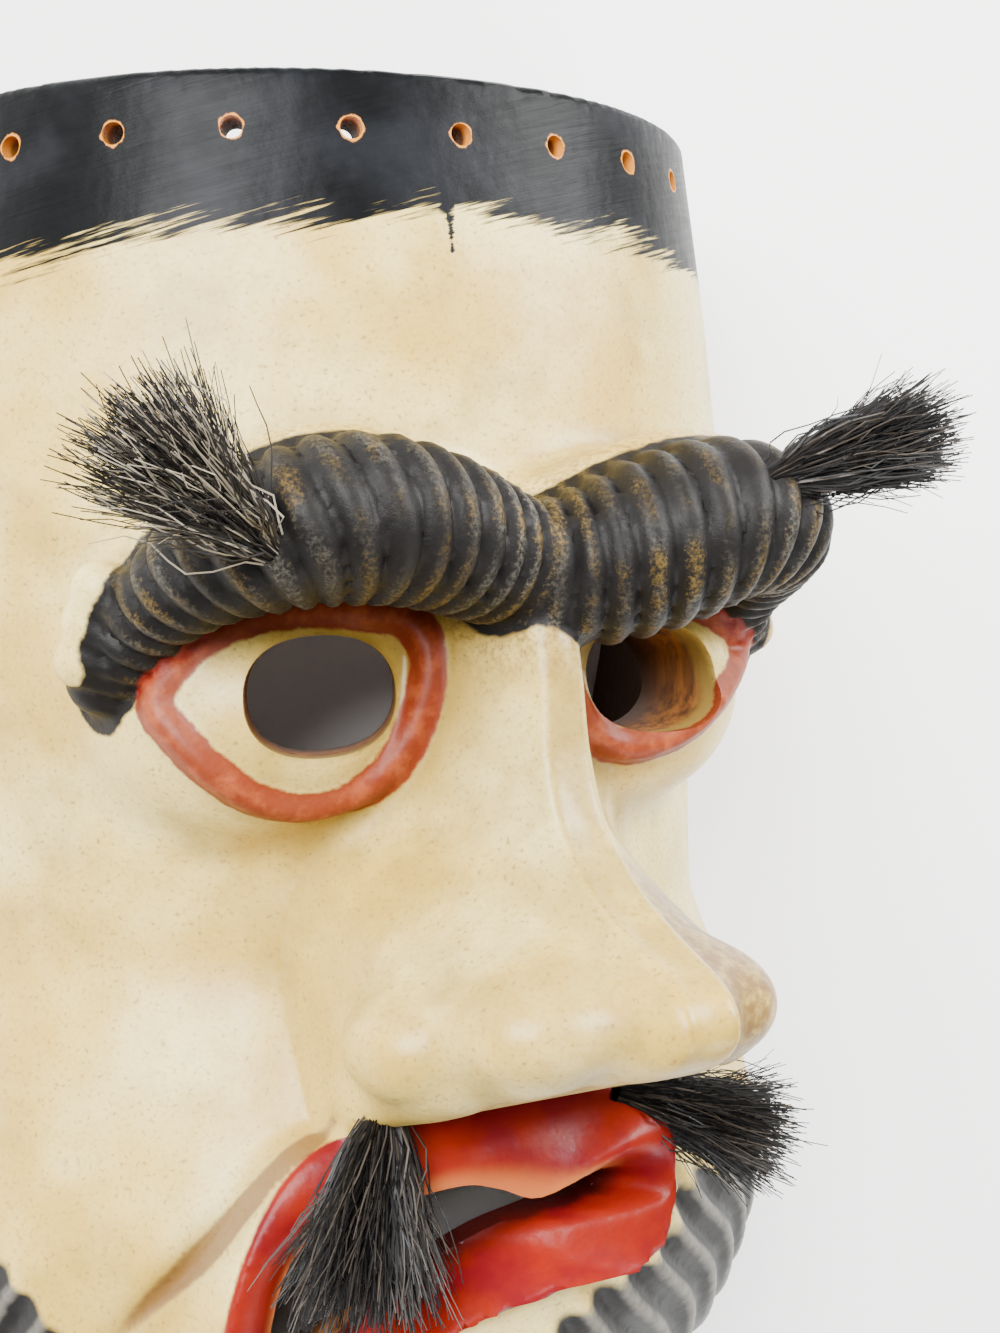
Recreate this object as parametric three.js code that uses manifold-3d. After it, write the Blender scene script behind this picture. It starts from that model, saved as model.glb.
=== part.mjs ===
// Carved wooden carnival mask, lying on its back with the hollow side down.
// Millimetres. +X to the wearer's left, +Y to the top of the head, +Z out of the face.
// The origin is under the middle of the back, on the surface that the mask lies on.
import * as THREE from 'three';
import { mergeVertices } from 'three/addons/utils/BufferGeometryUtils.js';
import Module from 'manifold-3d';

const wasm = await Module();
wasm.setup();

// Driving dimensions of the head
const TOP_Y = 135;          // top rim
const CHIN_Y = -135;        // end of the beard
const FAN_Y = -60;          // level from which the chin is rounded
const SPINE_END = -92;      // lower end of the spine, from which the form is measured
const BARREL_POWER = 2.15;  // a little squarer than an ellipse across
const WALL = 9;             // carved wall
// Half barrel stations: level up the face, half width, depth in front of the back plane
const BARREL = [[-60, 93, 86], [-30, 86, 80], [-10, 80, 76], [12, 80, 77], [38, 85, 83], [60, 88, 86],
  [90, 85.5, 86.5], [135, 81, 83.5]];

// Brow rolls from the middle outwards: point and radius. The left one hangs a little lower.
const BROWS = {
  right: [[0, 52, 98, 9.5], [10, 55, 101, 11], [22, 58.5, 105, 12], [34, 60, 106.5, 12.5],
    [44, 58.5, 103, 11.5], [51.5, 54.5, 93, 9.2], [56.3, 48, 80, 7], [59.5, 41, 71, 6.2], [61, 35, 65, 5.6]],
  left: [[0, 51, 98, 10], [10, 52, 101, 12.6], [21, 55.5, 104.5, 14], [33, 59, 106, 13.4],
    [44, 58.5, 103, 11.5], [51.5, 54.5, 93, 9.2], [56.3, 48, 80, 7], [59.5, 41, 71, 6.2], [61, 35, 65, 5.6]],
};
const BROW_RIBS = 15;
const RIB_DEPTH = 1.5;
const BROW_LUMPS = [[64, 51.2, 74], [65, 45.7, 71.5], [66, 39.7, 69.5]];
const LUMP_RADIUS = 4.4;

// Eyes: bulge, lid rings and the hole that the wearer looks through, square to the bulge.
// The left eye was carved a little smaller and higher.
const EYE_TURN = 0.42;
const EYE_BULGE = { at: [35, 30, 64], radii: [27, 22.5, 24.5], turn: EYE_TURN };
const LIDS = {
  right: [[56.3, 32.3, 76.3], [53.8, 37.3, 77.3], [49, 41.8, 78.8], [42.2, 44.9, 80.4], [33.3, 46.2, 82],
    [23, 46, 83], [15.8, 44.7, 85], [13, 39.5, 87.5], [13.5, 32.7, 87.6], [16, 25.4, 86.1],
    [20.3, 19.5, 84.3], [26.9, 15.8, 82.5], [35.6, 14.7, 82], [43.6, 17.4, 81.9], [49.9, 22.4, 81.2],
    [54.2, 27.8, 79]],
  left: [[58, 36.9, 75.5], [54.3, 40.3, 78.5], [49, 42.5, 80], [42, 44.9, 81.5], [33.3, 46.2, 82.5],
    [23, 46, 83], [15.8, 44, 85], [13.2, 38.5, 87.5], [14, 31.5, 87.4], [16.8, 26, 86], [21, 22.3, 85.1],
    [26, 20.4, 85.4], [31.4, 21, 86.5], [38.6, 23.6, 86.8], [45.1, 27.6, 85.5], [53.5, 32.5, 79.8]],
};
const LID_RADIUS = 2.6;
const EYE_HOLE = { at: [30.2, 32.6, 82], halfWidth: 12.2, halfHeight: 9.8, power: 2.35 };

// Nose: height of the ridge along the face, and the foot of its flanks (half width, height)
const RIDGE = [[-24, 136.5], [-20, 141.5], [-17, 143.2], [-14.4, 143], [-11.6, 141.5], [-7.8, 136],
  [-4, 129.8], [0, 123], [5, 117], [12, 112], [18, 110], [25, 109], [32, 109], [39, 108.5], [50, 104],
  [62, 96]];
const FOOT = [[-24, 30, 84], [-10, 30, 80], [0, 28, 80], [10, 24, 81], [20, 20, 83], [30, 16.3, 86],
  [45, 13.5, 90], [62, 13, 88]];
const CREST_AT = 4.3;       // the ridge is flat between two crests
const WING = { at: [26, -21, 103], radii: [11.5, 9.5, 12.5], turn: 0.35 };
const LOBE = { at: [18, -17.5, 120.5], radii: [9.5, 8.5, 11.5] };
const NOSE_TIP = { at: [0, -15.5, 133], radii: [8, 7, 11] };
const NOSTRIL = { at: [12, -31, 116], radii: [6, 8, 11] };

// Crooked mouth, round the lips from the left corner: their inner edge at the hole, and their outer edge
const LIPS = [
  { inner: [18, -54, 84], outer: [26.8, -46.1, 96] },
  { inner: [16, -57, 82], outer: [23.1, -66.3, 96] },
  { inner: [7.4, -58.5, 82], outer: [5.5, -68.7, 96] },
  { inner: [-6.6, -61, 82], outer: [-13.7, -72, 94] },
  { inner: [-24, -69, 80], outer: [-32, -84, 88] },
  { inner: [-37, -79, 80], outer: [-47, -91, 84] },
  { inner: [-44, -76, 84], outer: [-54, -80, 87] },
  { inner: [-44.8, -66.7, 86], outer: [-52.5, -63.2, 89] },
  { inner: [-39.5, -55.7, 86], outer: [-46.1, -48.8, 89] },
  { inner: [-28, -50, 92], outer: [-37, -40, 89] },
  { inner: [-15.4, -47.4, 96], outer: [-20, -36, 90] },
  { inner: [-8, -49.2, 96], outer: [-6, -35, 90] },
  { inner: [-1, -51.7, 97], outer: [4, -35, 90] },
  { inner: [11.2, -49.4, 96], outer: [18, -38, 90] },
];
const MOUTH_AT = [-12, -60];
const LIP_SWELL = 1.4;      // how far the lips bulge between their edges
const MUZZLE = { at: [-10, -60, 66], radii: [50, 34, 24] };
const FOLD = [[-33.5, -36, 86.5], [-38.4, -39.9, 85.4], [-45, -45.4, 84.2], [-50.7, -52.5, 81.1],
  [-56.1, -58.7, 77.3], [-61.5, -65.7, 71.4]];
const FOLD_RADIUS = 2;

// Holes drilled through the band, for sewing the hood on
const RIM_HOLES = { count: 13, level: 125, pitch: 13.15, offset: -1.1, radius: 1.9, sides: 6 };

// Hair tufts: root on the wood, end of the bristles, half width and half thickness of the fan
const SOCKET_RADIUS = 2.5;
const SOCKET_DEPTH = 7;
const GAP = 0.3;
const GRIZZLED = '#2e2b28';
const BLACK = '#211e1c';
const TUFTS = {
  brow_tuft_right: { root: [-53, 57.7, 112], end: [-74, 72, 121], wide: 10, thick: 8, colour: GRIZZLED },
  brow_tuft_left: { root: [40.5, 66, 115], end: [68.5, 73.5, 119.4], wide: 7.5, thick: 7, colour: BLACK },
  moustache_tuft_right: { root: [-28, -36, 94.5], end: [-37, -61.5, 102], wide: 12, thick: 6, colour: BLACK },
  moustache_tuft_left: { root: [23.5, -40.5, 91], end: [46, -49.3, 98.2], wide: 8, thick: 7, colour: BLACK },
};

// Small numeric tools
function clamp(value, low, high) {
  return Math.min(high, Math.max(low, value));
}

function smooth(from, to, value) {
  const t = clamp((value - from) / (to - from), 0, 1);
  return t * t * (3 - 2 * t);
}

// Curve through stations [position, ...], read from one of their columns, with no overshoot
function through(stations, column, at) {
  const n = stations.length;
  const x = clamp(at, stations[0][0], stations[n - 1][0]);
  let i = 0;
  while (i < n - 2 && x > stations[i + 1][0]) {
    i += 1;
  }
  const rise = (k) => stations[k + 1][column] - stations[k][column];
  const slope = (k) => rise(k) / (stations[k + 1][0] - stations[k][0]);
  const tangent = (k) => {
    if (k === 0) return slope(0);
    if (k === n - 1) return slope(n - 2);
    const before = slope(k - 1);
    const after = slope(k);
    return before * after <= 0 ? 0 : (2 * before * after) / (before + after);
  };
  const h = stations[i + 1][0] - stations[i][0];
  const t = (x - stations[i][0]) / h;
  return (1 + 2 * t) * (1 - t) ** 2 * stations[i][column] + t * (1 - t) ** 2 * h * tangent(i)
    + t * t * (3 - 2 * t) * stations[i + 1][column] + t * t * (t - 1) * h * tangent(i + 1);
}

function blendIn(a, b, k) {
  const h = clamp(0.5 + (0.5 * (b - a)) / k, 0, 1);
  return b * (1 - h) + a * h - k * h * (1 - h);
}

function cutOut(a, b, k) {
  return -blendIn(-a, -b, k);
}

// Signed distances, negative in the wood
function ellipsoid([x, y, z], { at, radii, turn = 0 }) {
  const dx = x - at[0];
  const dz = z - at[2];
  const q = [Math.cos(turn) * dx - Math.sin(turn) * dz, y - at[1], Math.sin(turn) * dx + Math.cos(turn) * dz];
  const k0 = Math.hypot(q[0] / radii[0], q[1] / radii[1], q[2] / radii[2]);
  const k1 = Math.hypot(q[0] / radii[0] ** 2, q[1] / radii[1] ** 2, q[2] / radii[2] ** 2);
  return k1 > 0 ? (k0 * (k0 - 1)) / k1 : -Math.min(...radii);
}

// A roll of varying radius along a line of points; loop joins its ends
function roll(p, points, radii, loop = false) {
  let nearest = Infinity;
  const count = loop ? points.length : points.length - 1;
  for (let i = 0; i < count; i += 1) {
    const a = points[i];
    const next = (i + 1) % points.length;
    const b = points[next];
    const ab = [b[0] - a[0], b[1] - a[1], b[2] - a[2]];
    const ap = [p[0] - a[0], p[1] - a[1], p[2] - a[2]];
    const square = ab[0] ** 2 + ab[1] ** 2 + ab[2] ** 2;
    const t = clamp((ap[0] * ab[0] + ap[1] * ab[1] + ap[2] * ab[2]) / square, 0, 1);
    const d = Math.hypot(ap[0] - t * ab[0], ap[1] - t * ab[1], ap[2] - t * ab[2]);
    nearest = Math.min(nearest, d - radii[i] - t * (radii[next] - radii[i]));
  }
  return nearest;
}

// The half barrel with its rounded chin; inset moves it inwards
function barrel([x, y, z], inset = 0) {
  const a = through(BARREL, 1, y) - inset;
  const b = through(BARREL, 2, y) - inset;
  const c = FAN_Y - CHIN_Y - inset;
  const q = Math.max(FAN_Y - y, 0) / c;
  const power = BARREL_POWER;
  return ((Math.abs(x / a) ** power + Math.abs(z / b) ** power + q ** power) ** (1 / power) - 1) * a;
}

function nose([x, y, z]) {
  const side = Math.abs(x);
  const ridge = through(RIDGE, 1, y);
  const half = through(FOOT, 1, y) * 1.15;
  const low = through(FOOT, 2, y) - 9;
  const s = clamp(side / half, 0, 1);
  const full = smooth(12, -16, y);
  const round = 0.3 + 0.5 * full;
  const bell = 0.5 + 0.5 * Math.cos(Math.PI * s);
  const dome = Math.sqrt(1 - s * s);
  const crest = 0.055 * Math.exp(-(((side - CREST_AT) / 2.1) ** 2));
  const groove = 0.032 * smooth(30, -4, y) * Math.exp(-(((side - 9) / 2.8) ** 2));
  const g = bell * (1 - round) + dome * round + crest - groove;
  const above = (z - (low + (ridge - low) * g)) * 0.45;
  const below = (-(y + 19) * 0.93 - (150 - z) * 0.29) * 0.9;
  let n = cutOut(above, below, 5);
  n = cutOut(n, (side - half) * 0.8, 4);
  n = cutOut(n, y - 56, 6);
  n = blendIn(n, ellipsoid([side, y, z], WING), 6);
  n = blendIn(n, ellipsoid([side, y, z], LOBE), 6);
  n = blendIn(n, ellipsoid([side, y, z], NOSE_TIP), 6);
  return cutOut(n, -ellipsoid([side, y, z], NOSTRIL), 2.5);
}

// One edge of the lips as directions round the mouth, with distance from its middle and height
function roundMouth(edge) {
  const curve = new THREE.CatmullRomCurve3(LIPS.map((pair) => new THREE.Vector3(...pair[edge])), true,
    'catmullrom', 0.5);
  const table = [];
  for (let i = 0; i < 84; i += 1) {
    const { x, y, z } = curve.getPoint(i / 84);
    const [dx, dy] = [x - MOUTH_AT[0], y - MOUTH_AT[1]];
    table.push({ angle: Math.atan2(dy, dx), radius: Math.hypot(dx, dy), z });
  }
  table.sort((a, b) => a.angle - b.angle);
  const [first, last] = [table[0], table[table.length - 1]];
  table.unshift({ ...last, angle: last.angle - 2 * Math.PI });
  table.push({ ...first, angle: first.angle + 2 * Math.PI });
  return table;
}

function readTable(table, angle) {
  let i = 0;
  while (angle > table[i + 1].angle) i += 1;
  const [a, b] = [table[i], table[i + 1]];
  const t = (angle - a.angle) / (b.angle - a.angle || 1);
  return [a.radius + t * (b.radius - a.radius), a.z + t * (b.z - a.z)];
}

const LIP_INNER = roundMouth('inner');
const LIP_OUTER = roundMouth('outer');

// The wood of the lips, and the air in front of them
function lips([x, y, z]) {
  const [dx, dy] = [x - MOUTH_AT[0], y - MOUTH_AT[1]];
  const angle = Math.atan2(dy, dx);
  const r = Math.hypot(dx, dy);
  const [innerR, innerZ] = readTable(LIP_INNER, angle);
  const [outerR, outerZ] = readTable(LIP_OUTER, angle);
  const t = clamp((r - innerR) / (outerR - innerR), 0, 1);
  const height = innerZ + (outerZ - innerZ) * t + LIP_SWELL * 4 * t * (1 - t);
  const rise = (z - height) * 0.75;
  return {
    wood: Math.max(rise, (r - outerR - 0.25 * (outerZ - z)) * 0.9),
    air: Math.max(-rise, r - outerR),
  };
}

// The carved face, with the core of the brows whose ribs are swept on afterwards
function face(p) {
  const mirrored = [Math.abs(p[0]), p[1], p[2]];
  let f = blendIn(barrel(p), ellipsoid(p, MUZZLE), 14);
  f = blendIn(f, ellipsoid(mirrored, EYE_BULGE), 7);
  f = blendIn(f, nose(p), 7);
  if (p[1] > 10) {
    for (const [side, line] of [[-1, BROWS.right], [1, BROWS.left]]) {
      const q = [side * p[0], p[1], p[2]];
      const radii = line.map((station) => station[3]);
      const behind = roll([q[0], q[1] - 5, q[2] + 11], line, radii.map((r) => r - 2));
      f = blendIn(f, behind, 7);
      f = blendIn(f, roll(q, line, radii) + RIB_DEPTH + 0.4, 3);
    }
    for (const lump of BROW_LUMPS) {
      f = blendIn(f, Math.hypot(...diff(mirrored, lump)) - LUMP_RADIUS, 2.5);
    }
  }
  f = cutOut(f, -roll(p, FOLD, FOLD.map(() => FOLD_RADIUS)), 3);
  const { wood, air } = lips(p);
  return cutOut(blendIn(f, wood, 2), -air, 0.8);
}

// The hollow behind it, with room for the wearer's nose and eyes
function hollow(p) {
  const mirrored = [Math.abs(p[0]), p[1], p[2]];
  let f = barrel(p, WALL);
  f = blendIn(f, ellipsoid(p, { at: [0, -6, 84], radii: [15, 20, 30] }), 10);
  return blendIn(f, ellipsoid(mirrored, { at: [33, 30, 55], radii: [18, 15, 18], turn: EYE_TURN }), 8);
}

// Solids
function toSolid(positions, triangles) {
  const solid = new wasm.Manifold(new wasm.Mesh({
    numProp: 3,
    vertProperties: new Float32Array(positions.flat()),
    triVerts: new Uint32Array(triangles.flat()),
  }));
  return solid;
}

function geometryToSolid(geometry) {
  const bare = geometry.clone();
  bare.deleteAttribute('normal');
  bare.deleteAttribute('uv');
  const merged = mergeVertices(bare, 1e-4);
  return new wasm.Manifold(new wasm.Mesh({
    numProp: 3,
    vertProperties: new Float32Array(merged.attributes.position.array),
    triVerts: new Uint32Array(merged.index.array),
  }));
}

// Distance along a ray from the spine to the outermost surface of a form
function reach(form, origin, direction) {
  let r = 190;
  for (let step = 0; step < 90; step += 1) {
    const p = [origin[0] + r * direction[0], origin[1] + r * direction[1], origin[2] + r * direction[2]];
    const d = form(p);
    r -= clamp(d * 0.7, -3, 12);
    if (Math.abs(d) < 0.02) break;
  }
  return r;
}

// A form seen from the spine, as one closed body: rows run down the barrel and round the chin,
// columns run from the right side across the face to the left side.
// past carries it beyond the back plane and the top, for a hollow that cuts through them.
function shellBody(form, levels, chinRows, columns, past = 0) {
  const rows = levels.map((y) => ({ y, chin: 0 }));
  for (let i = 1; i <= chinRows; i += 1) {
    rows.push({ y: SPINE_END, chin: ((i / chinRows) * Math.PI) / 2 });
  }
  const grid = rows.map(({ y, chin }) => {
    const row = [];
    for (let i = 0; i <= columns; i += 1) {
      const u = (2 * i) / columns - 1;
      const around = (Math.PI / 2) * (0.72 * u + 0.28 * u ** 3);
      const d = new THREE.Vector3(Math.sin(around), -Math.sin(chin), Math.cos(around) * Math.cos(chin));
      d.normalize();
      const r = reach(form, [0, y, 0], d.toArray());
      row.push([r * d.x, y + r * d.y, Math.max(0, r * d.z)]);
    }
    return row;
  });
  const spine = rows.map(({ y }) => [0, y, -past]);
  if (past > 0) {
    grid.unshift(grid[0].map(([x, y, z]) => [x, y + past, z]));
    spine.unshift([0, rows[0].y + past, -past]);
    for (const row of grid) {
      row.unshift([row[0][0], row[0][1], -past]);
      row.push([row[row.length - 1][0], row[row.length - 1][1], -past]);
    }
    grid.push(grid[grid.length - 1].map(([x, y]) => [x, y, -past]));
    spine.push(spine[spine.length - 1]);
  }
  const width = grid[0].length;
  const positions = grid.flat().concat(spine.slice(0, spine.length));
  const at = (j, i) => j * width + i;
  const mid = (j) => grid.length * width + j;
  const triangles = [];
  for (let j = 0; j + 1 < grid.length; j += 1) {
    for (let i = 0; i + 1 < width; i += 1) {
      const [a, b, c, d] = [at(j, i), at(j + 1, i), at(j + 1, i + 1), at(j, i + 1)];
      const long = Math.hypot(...diff(positions[a], positions[c]));
      const flip = long > Math.hypot(...diff(positions[b], positions[d]));
      triangles.push(...(flip ? [[a, b, d], [b, c, d]] : [[a, b, c], [a, c, d]]));
    }
    triangles.push([at(j, 0), mid(j), at(j + 1, 0)], [mid(j), mid(j + 1), at(j + 1, 0)]);
    triangles.push([at(j, width - 1), at(j + 1, width - 1), mid(j)]);
    triangles.push([mid(j), at(j + 1, width - 1), mid(j + 1)]);
  }
  const last = grid.length - 1;
  for (let i = 0; i + 1 < width; i += 1) {
    triangles.push([at(0, i), at(0, i + 1), mid(0)]);
    triangles.push([at(last, i + 1), at(last, i), mid(last)]);
  }
  return closed(positions, triangles);
}

function diff(a, b) {
  return [a[0] - b[0], a[1] - b[1], a[2] - b[2]];
}

// Merges points that fall together and drops the faces that this empties
function closed(positions, triangles) {
  const geometry = new THREE.BufferGeometry();
  geometry.setAttribute('position', new THREE.Float32BufferAttribute(positions.flat(), 3));
  geometry.setIndex(triangles.flat());
  const merged = mergeVertices(geometry, 1e-3);
  const index = merged.index.array;
  const kept = [];
  for (let i = 0; i < index.length; i += 3) {
    const [a, b, c] = [index[i], index[i + 1], index[i + 2]];
    if (a !== b && b !== c && a !== c) kept.push([a, b, c]);
  }
  const p = merged.attributes.position.array;
  const points = [];
  for (let i = 0; i < p.length; i += 3) points.push([p[i], p[i + 1], p[i + 2]]);
  return toSolid(points, kept);
}

// A roll swept along a path, with a radius at each of its rings
function sweep(path, radii, sides, loop) {
  const rings = path.map((point, i) => {
    const before = path[loop ? (i - 1 + path.length) % path.length : Math.max(0, i - 1)];
    const after = path[loop ? (i + 1) % path.length : Math.min(path.length - 1, i + 1)];
    const along = after.clone().sub(before).normalize();
    const side = new THREE.Vector3().crossVectors(along, new THREE.Vector3(0, 0, 1)).normalize();
    const up = new THREE.Vector3().crossVectors(side, along);
    const ring = [];
    for (let k = 0; k < sides; k += 1) {
      const turn = (2 * Math.PI * (k + 0.5)) / sides;
      ring.push(point.clone().addScaledVector(side, radii[i] * Math.cos(turn))
        .addScaledVector(up, radii[i] * Math.sin(turn)).toArray());
    }
    return ring;
  });
  const positions = rings.flat();
  const triangles = [];
  const count = loop ? rings.length : rings.length - 1;
  for (let j = 0; j < count; j += 1) {
    for (let k = 0; k < sides; k += 1) {
      const [a, b] = [j * sides + k, j * sides + ((k + 1) % sides)];
      const next = ((j + 1) % rings.length) * sides;
      const [c, d] = [next + ((k + 1) % sides), next + k];
      triangles.push([a, b, c], [a, c, d]);
    }
  }
  if (!loop) {
    const end = (rings.length - 1) * sides;
    for (let k = 1; k + 1 < sides; k += 1) {
      triangles.push([0, k + 1, k], [end, end + k, end + k + 1]);
    }
  }
  const solid = toSolid(positions, triangles);
  return solid.volume() > 0 ? solid : toSolid(positions, triangles.map(([a, b, c]) => [a, c, b]));
}

function curveThrough(points, loop) {
  return new THREE.CatmullRomCurve3(points.map((p) => new THREE.Vector3(...p)), loop, 'centripetal');
}

function toSide(side, [x, y, z]) {
  return [side === 'right' ? -x : x, y, z];
}

function browRoll(side, grow) {
  const stations = BROWS[side];
  const curve = curveThrough(stations.map((station) => toSide(side, station)), false);
  const rings = 2 * BROW_RIBS;
  const path = [];
  const radii = [];
  for (let i = 0; i <= rings; i += 1) {
    const k = (i / rings) * (stations.length - 1);
    const low = Math.min(Math.floor(k), stations.length - 2);
    const radius = stations[low][3] + (stations[low + 1][3] - stations[low][3]) * (k - low);
    path.push(curve.getPoint(i / rings));
    radii.push(radius + grow - (i % 2 ? 0 : RIB_DEPTH * Math.min(1, radius / 9)));
  }
  return sweep(path, radii, 10, false);
}

function lidRing(side, grow) {
  const ring = curveThrough(LIDS[side].map((point) => toSide(side, point)), true);
  const points = ring.getSpacedPoints(20).slice(0, 20);
  return sweep(points, points.map(() => LID_RADIUS + grow), 5, true);
}

// The whole carved front, solid, and grown by a small amount where a clearance is wanted
function carvedFront(grow) {
  const levels = [TOP_Y, 116, 98, 84];
  for (let y = 76; y > SPINE_END + 2; y -= 4.4) levels.push(y);
  levels.push(SPINE_END);
  const body = shellBody((p) => face(p) - grow, levels, 6, 44);
  const relief = ['right', 'left'].flatMap((side) => [browRoll(side, grow), lidRing(side, grow)]);
  return relief.reduce((wood, swept) => wood.add(swept), body);
}

function hollowBody() {
  const levels = [TOP_Y, 110, 85];
  for (let y = 68; y > SPINE_END + 4; y -= 12) levels.push(y);
  levels.push(SPINE_END);
  return shellBody(hollow, levels, 4, 22, 6);
}

// A straight prism along Z with the given outline
function prism(outline, from, to) {
  const shape = new THREE.Shape(outline.map(([x, y]) => new THREE.Vector2(x, y)));
  const geometry = new THREE.ExtrudeGeometry(shape, { depth: to - from, bevelEnabled: false });
  geometry.translate(0, 0, from);
  return geometryToSolid(geometry);
}

function eyeHole(side) {
  const { at, halfWidth, halfHeight, power } = EYE_HOLE;
  const outline = [];
  for (let i = 0; i < 14; i += 1) {
    const [c, s] = [Math.cos((Math.PI * i) / 7), Math.sin((Math.PI * i) / 7)];
    const size = (Math.abs(c) ** power + Math.abs(s) ** power) ** (-1 / power);
    outline.push([halfWidth * c * size, halfHeight * s * size]);
  }
  const shape = new THREE.Shape(outline.map(([x, y]) => new THREE.Vector2(x, y)));
  const geometry = new THREE.ExtrudeGeometry(shape, { depth: 68, bevelEnabled: false });
  geometry.translate(0, 0, -34);
  geometry.rotateY(side * EYE_TURN);
  geometry.translate(side * at[0], at[1], at[2]);
  return geometryToSolid(geometry);
}

// The mouth goes straight through, inside the inner edge of the lips
function mouthHole() {
  const points = LIPS.map(({ inner }) => new THREE.Vector3(inner[0], inner[1], 0));
  const curve = new THREE.CatmullRomCurve3(points, true, 'catmullrom', 0.5);
  return prism(curve.getPoints(28).slice(0, 28).map(({ x, y }) => [x, y]), 30, 130);
}

// A round peg or drill between two points
function peg(from, to, radius, sides) {
  const a = new THREE.Vector3(...from);
  const b = new THREE.Vector3(...to);
  const geometry = new THREE.CylinderGeometry(radius, radius, a.distanceTo(b), sides);
  const axis = b.clone().sub(a).normalize();
  const turn = new THREE.Quaternion().setFromUnitVectors(new THREE.Vector3(0, 1, 0), axis);
  geometry.applyQuaternion(turn);
  geometry.translate((a.x + b.x) / 2, (a.y + b.y) / 2, (a.z + b.z) / 2);
  return geometryToSolid(geometry);
}

function rimDrills() {
  const { count, level, pitch, offset, radius, sides } = RIM_HOLES;
  const drills = [];
  for (let i = 0; i < count; i += 1) {
    const angle = THREE.MathUtils.degToRad(offset + pitch * (i - (count - 1) / 2));
    const d = [Math.sin(angle), 0, Math.cos(angle)];
    drills.push(peg([60 * d[0], level, 60 * d[2]], [100 * d[0], level, 100 * d[2]], radius, sides));
  }
  return drills;
}

function tuftAxis({ root, end }) {
  return new THREE.Vector3(...end).sub(new THREE.Vector3(...root)).normalize();
}

function socket(tuft) {
  const axis = tuftAxis(tuft);
  const root = new THREE.Vector3(...tuft.root);
  const bottom = root.clone().addScaledVector(axis, -SOCKET_DEPTH);
  const top = root.clone().addScaledVector(axis, 12);
  return peg(bottom.toArray(), top.toArray(), SOCKET_RADIUS, 8);
}

// A fan of bristles: a flattened flare with a rounded end, on a peg that sits in its socket
function tuftBody(tuft, clearance) {
  const axis = tuftAxis(tuft);
  const root = new THREE.Vector3(...tuft.root);
  const length = new THREE.Vector3(...tuft.end).distanceTo(root);
  const flat = new THREE.Vector3(0, 0, 1);
  const wide = new THREE.Vector3().crossVectors(axis, flat).normalize();
  const thin = new THREE.Vector3().crossVectors(wide, axis);
  const profile = [[0, 0.1], [0.25, 0.36], [0.55, 0.75], [0.82, 1], [0.95, 0.86], [1, 0.5]];
  const sides = 10;
  const positions = [];
  for (const [t, w] of profile) {
    for (let k = 0; k < sides; k += 1) {
      const a = (2 * Math.PI * k) / sides;
      const neck = 1 - Math.min(1, t / 0.25);
      const rx = Math.max(tuft.wide * w, 2.1 * neck);
      const ry = Math.max(tuft.thick * w, 2.1 * neck);
      positions.push(root.clone().addScaledVector(axis, t * length).addScaledVector(wide, rx * Math.cos(a))
        .addScaledVector(thin, ry * Math.sin(a)).toArray());
    }
  }
  const triangles = [];
  for (let j = 0; j + 1 < profile.length; j += 1) {
    for (let k = 0; k < sides; k += 1) {
      const [a, b] = [j * sides + k, j * sides + ((k + 1) % sides)];
      triangles.push([a, b, b + sides], [a, b + sides, a + sides]);
    }
  }
  const end = (profile.length - 1) * sides;
  for (let k = 1; k + 1 < sides; k += 1) {
    triangles.push([0, k + 1, k], [end, end + k, end + k + 1]);
  }
  let flare = toSolid(positions, triangles);
  if (flare.volume() < 0) flare = toSolid(positions, triangles.map(([a, b, c]) => [a, c, b]));
  const foot = root.clone().addScaledVector(axis, -SOCKET_DEPTH + GAP).toArray();
  const top = root.clone().addScaledVector(axis, 0.3 * length).toArray();
  return flare.subtract(clearance).add(peg(foot, top, SOCKET_RADIUS - GAP, 8));
}

function solidToMesh(name, solid, material) {
  const { vertProperties, triVerts } = solid.getMesh();
  const geometry = new THREE.BufferGeometry();
  geometry.setAttribute('position', new THREE.BufferAttribute(new Float32Array(vertProperties), 3));
  geometry.setIndex(new THREE.BufferAttribute(new Uint32Array(triVerts), 1));
  geometry.computeVertexNormals();
  const mesh = new THREE.Mesh(geometry, material);
  mesh.name = name;
  return mesh;
}

function maskShell() {
  let shell = carvedFront(0).subtract(hollowBody());
  shell = shell.subtract(eyeHole(-1)).subtract(eyeHole(1)).subtract(mouthHole());
  for (const drill of rimDrills()) shell = shell.subtract(drill);
  for (const tuft of Object.values(TUFTS)) shell = shell.subtract(socket(tuft));
  // the wood is one block: small pockets left behind the brows and lid rings are filled
  return shell.decompose().reduce((a, b) => (b.volume() > a.volume() ? b : a));
}

const mask = new THREE.Group();
mask.name = 'carnival_mask';
const paintedWood = new THREE.MeshStandardMaterial({ color: '#d8c8a0', roughness: 0.45, metalness: 0 });
mask.add(solidToMesh('mask_shell', maskShell(), paintedWood));
const clearance = carvedFront(0.35);
for (const [name, tuft] of Object.entries(TUFTS)) {
  const hair = new THREE.MeshStandardMaterial({ color: tuft.colour, roughness: 0.7, metalness: 0 });
  mask.add(solidToMesh(name, tuftBody(tuft, clearance), hair));
}

export default mask;
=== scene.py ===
"""A carved and painted wooden carnival mask, lying on its back, built as a Blender add-on would build it."""
import math

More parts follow.
